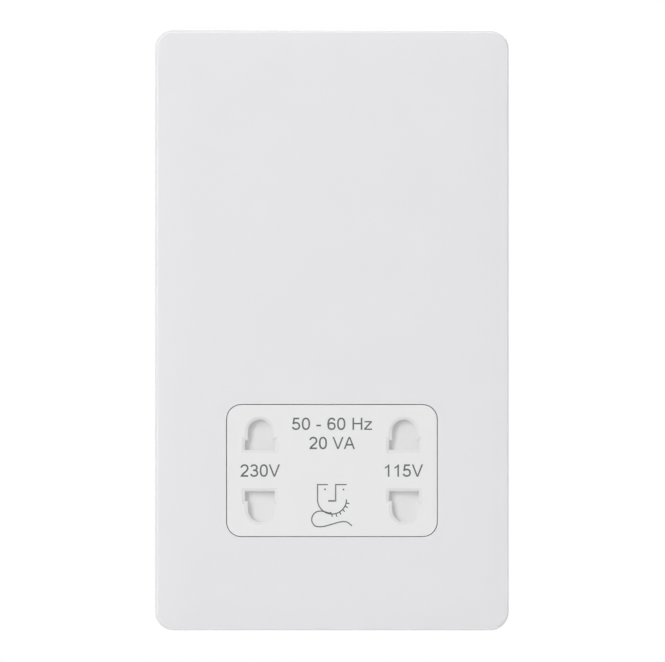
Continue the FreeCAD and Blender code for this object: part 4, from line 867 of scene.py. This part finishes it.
# a lead's radius, the depth at which the leads leave the coil and the height at which they turn back
LEAD_R, FRONT, BELOW = 0.75, 4.2, -12.7
ROUTES = {
    "lead_live": [(-CLAMP_X, FRONT, 43.1), (-CLAMP_X, FRONT, 37.5), (-CLAMP_X, FRONT, 31.9)],
    "lead_neutral": [(CLAMP_X, FRONT, 43.1), (CLAMP_X, FRONT, 35.7), (CLAMP_X, FRONT, 28.3)],
    "lead_common": [
        (0, FRONT, -1.3), (0, FRONT, -7.0), (0, FRONT, -10.7), (0, FRONT, BELOW), (0, 6.2, BELOW),
        (0, 10.5, BELOW), (0, 15.0, BELOW), (0, 17.0, BELOW), (0, 17.0, -14.7), (0, 17.0, -19.0),
        (0, 17.0, -24.3),
    ],
}
for side, node in ((-1, "lead_230"), (1, "lead_115")):
    near, far, behind, solder = side * 8.75, side * 17.5, 20.15, 16.9
    ROUTES[node] = [
        (near, FRONT, -1.3), (near, FRONT, -7.0), (near, FRONT, -10.7), (near, FRONT, BELOW),
        (near, 6.2, BELOW), (near, 12.0, BELOW), (near, 18.15, BELOW), (near, behind, BELOW),
        (near, behind, -14.7), (near, behind, -20.0), (near, behind, -26.1),
        (far, solder, -34.1), (far, solder, -36.5), (far, solder, -42.9),
    ]
for node, route in ROUTES.items():
    lead(node, SLEEVES[node], LEAD_R, route)


# Room: a pale floor far below and white surroundings. A broad lamp high on the left, which shows in no
# gloss, gives the soft shadows in the apertures. The lamps called lines show only in gloss, and draw
# bright lines along the plate's edges.
SKY, FLOOR_HALF, FLOOR_Z = 0.43, 3000.0, -950.0


def white_to_the_eye(tree):
    """1 for rays that come straight from the camera, or by way of gloss or glass; otherwise 0."""
    path = add(tree, "LightPath").outputs
    first = add(tree, "Math", {0: path["Is Camera Ray"], 1: path["Is Glossy Ray"]}, operation="MAXIMUM")
    last = {0: first.outputs[0], 1: path["Is Transmission Ray"]}
    return add(tree, "Math", last, operation="MAXIMUM").outputs[0]


def room():
    """The surroundings and the floor, white to the eye and dimmer as a light on the object."""
    world = bpy.data.worlds.new("white_room")
    bpy.context.scene.world = world
    world.use_nodes = True
    tree = world.node_tree
    tree.nodes.clear()
    seen = white_to_the_eye(tree)
    strength = add(tree, "MapRange", {"Value": seen, "To Min": SKY, "To Max": 1.0}).outputs["Result"]
    sky = add(tree, "Background", {"Color": srgb("#FFFFFF"), "Strength": strength})
    add(tree, "OutputWorld", {"Surface": sky.outputs[0]})

    material, tree, _ = finish("pale_floor")
    paint = add(tree, "BsdfDiffuse", {"Color": srgb("#F2F2F2")})
    glow = add(tree, "Emission", {"Color": srgb("#FFFFFF"), "Strength": 1.0})
    shade = add(tree, "MixShader", {0: white_to_the_eye(tree), 1: paint.outputs[0], 2: glow.outputs[0]})
    add(tree, "OutputMaterial", {"Surface": shade.outputs[0]})
    square = np.array([(-1, -1), (1, -1), (1, 1), (-1, 1)]) * FLOOR_HALF
    corners = np.pad(square, ((0, 0), (0, 1)), constant_values=FLOOR_Z)
    floor = shell("floor", [(corners, np.array([[0, 1, 2, 3]]))], material)


def lamp(name, azimuth, elevation, distance, wide, tall, power, matt=True, gloss=True):
    """A flat lamp that looks at the plate from a bearing: 0 is straight in front, and positive is to
    the right seen from the room. It lights matt surfaces, shows in glossy ones, or both."""
    a, e = math.radians(azimuth), math.radians(elevation)
    way = Vector((math.sin(a) * math.cos(e), -math.cos(a) * math.cos(e), math.sin(e)))
    light = bpy.data.lights.new(name, "AREA")
    light.shape, light.size, light.size_y, light.energy = "RECTANGLE", wide, tall, power
    holder = bpy.data.objects.new(name, light)
    holder.location = way * distance
    holder.rotation_euler = way.to_track_quat("Z", "Y").to_euler()
    holder.visible_diffuse, holder.visible_glossy = matt, gloss
    bpy.context.scene.collection.objects.link(holder)


room()
lamp("key", -37, 22, 1.8, 0.75, 1.3, 15.4, gloss=False)
lamp("left_strip", -46, 4, 1.8, 0.06, 1.5, 1.7)
lamp("right_strip", 68, 2, 1.8, 0.4, 1.5, 4.4)
lamp("above", -4, 54, 1.8, 1.5, 0.4, 3.0)
lamp("rear", 160, 35, 1.6, 1.0, 1.0, 11.0)
lamp("left_line", -39, 0, 1.8, 0.25, 2.2, 8.0, matt=False)
lamp("right_line", 60, 0, 1.8, 1.3, 2.2, 16.0, matt=False)
lamp("upper_line", 0, 60, 1.8, 2.0, 1.2, 13.6, matt=False)
lamp("lower_line", 0, -75, 0.8, 0.9, 0.6, 3.5, matt=False)

# Camera: straight in front. The plate's middle is at pixel (331.9, 330.25) of a frame 665 by 662, and
# its face is shown at 4.116 pixels a millimetre.
FRAME_W, FRAME_H, PLATE_X, PLATE_Y, PIXELS = 665, 662, 331.9, 330.25, 4.116
SENSOR, AWAY = 36.0, 900.0
camera = bpy.data.cameras.new("portrait")
camera.sensor_fit = "HORIZONTAL"
camera.sensor_width = SENSOR
camera.lens = PIXELS * SENSOR * AWAY / FRAME_W
camera.clip_start, camera.clip_end = 0.01, 20.0
viewer = bpy.data.objects.new("portrait", camera)
aside, rise = (FRAME_W / 2 - PLATE_X) / PIXELS, (PLATE_Y - FRAME_H / 2) / PIXELS
viewer.location = Vector((aside, FACE_Y - AWAY, rise)) * MM
viewer.rotation_euler = (math.pi / 2, 0, 0)
bpy.context.scene.collection.objects.link(viewer)
bpy.context.scene.camera = viewer
bpy.context.scene.view_settings.view_transform = "Standard"
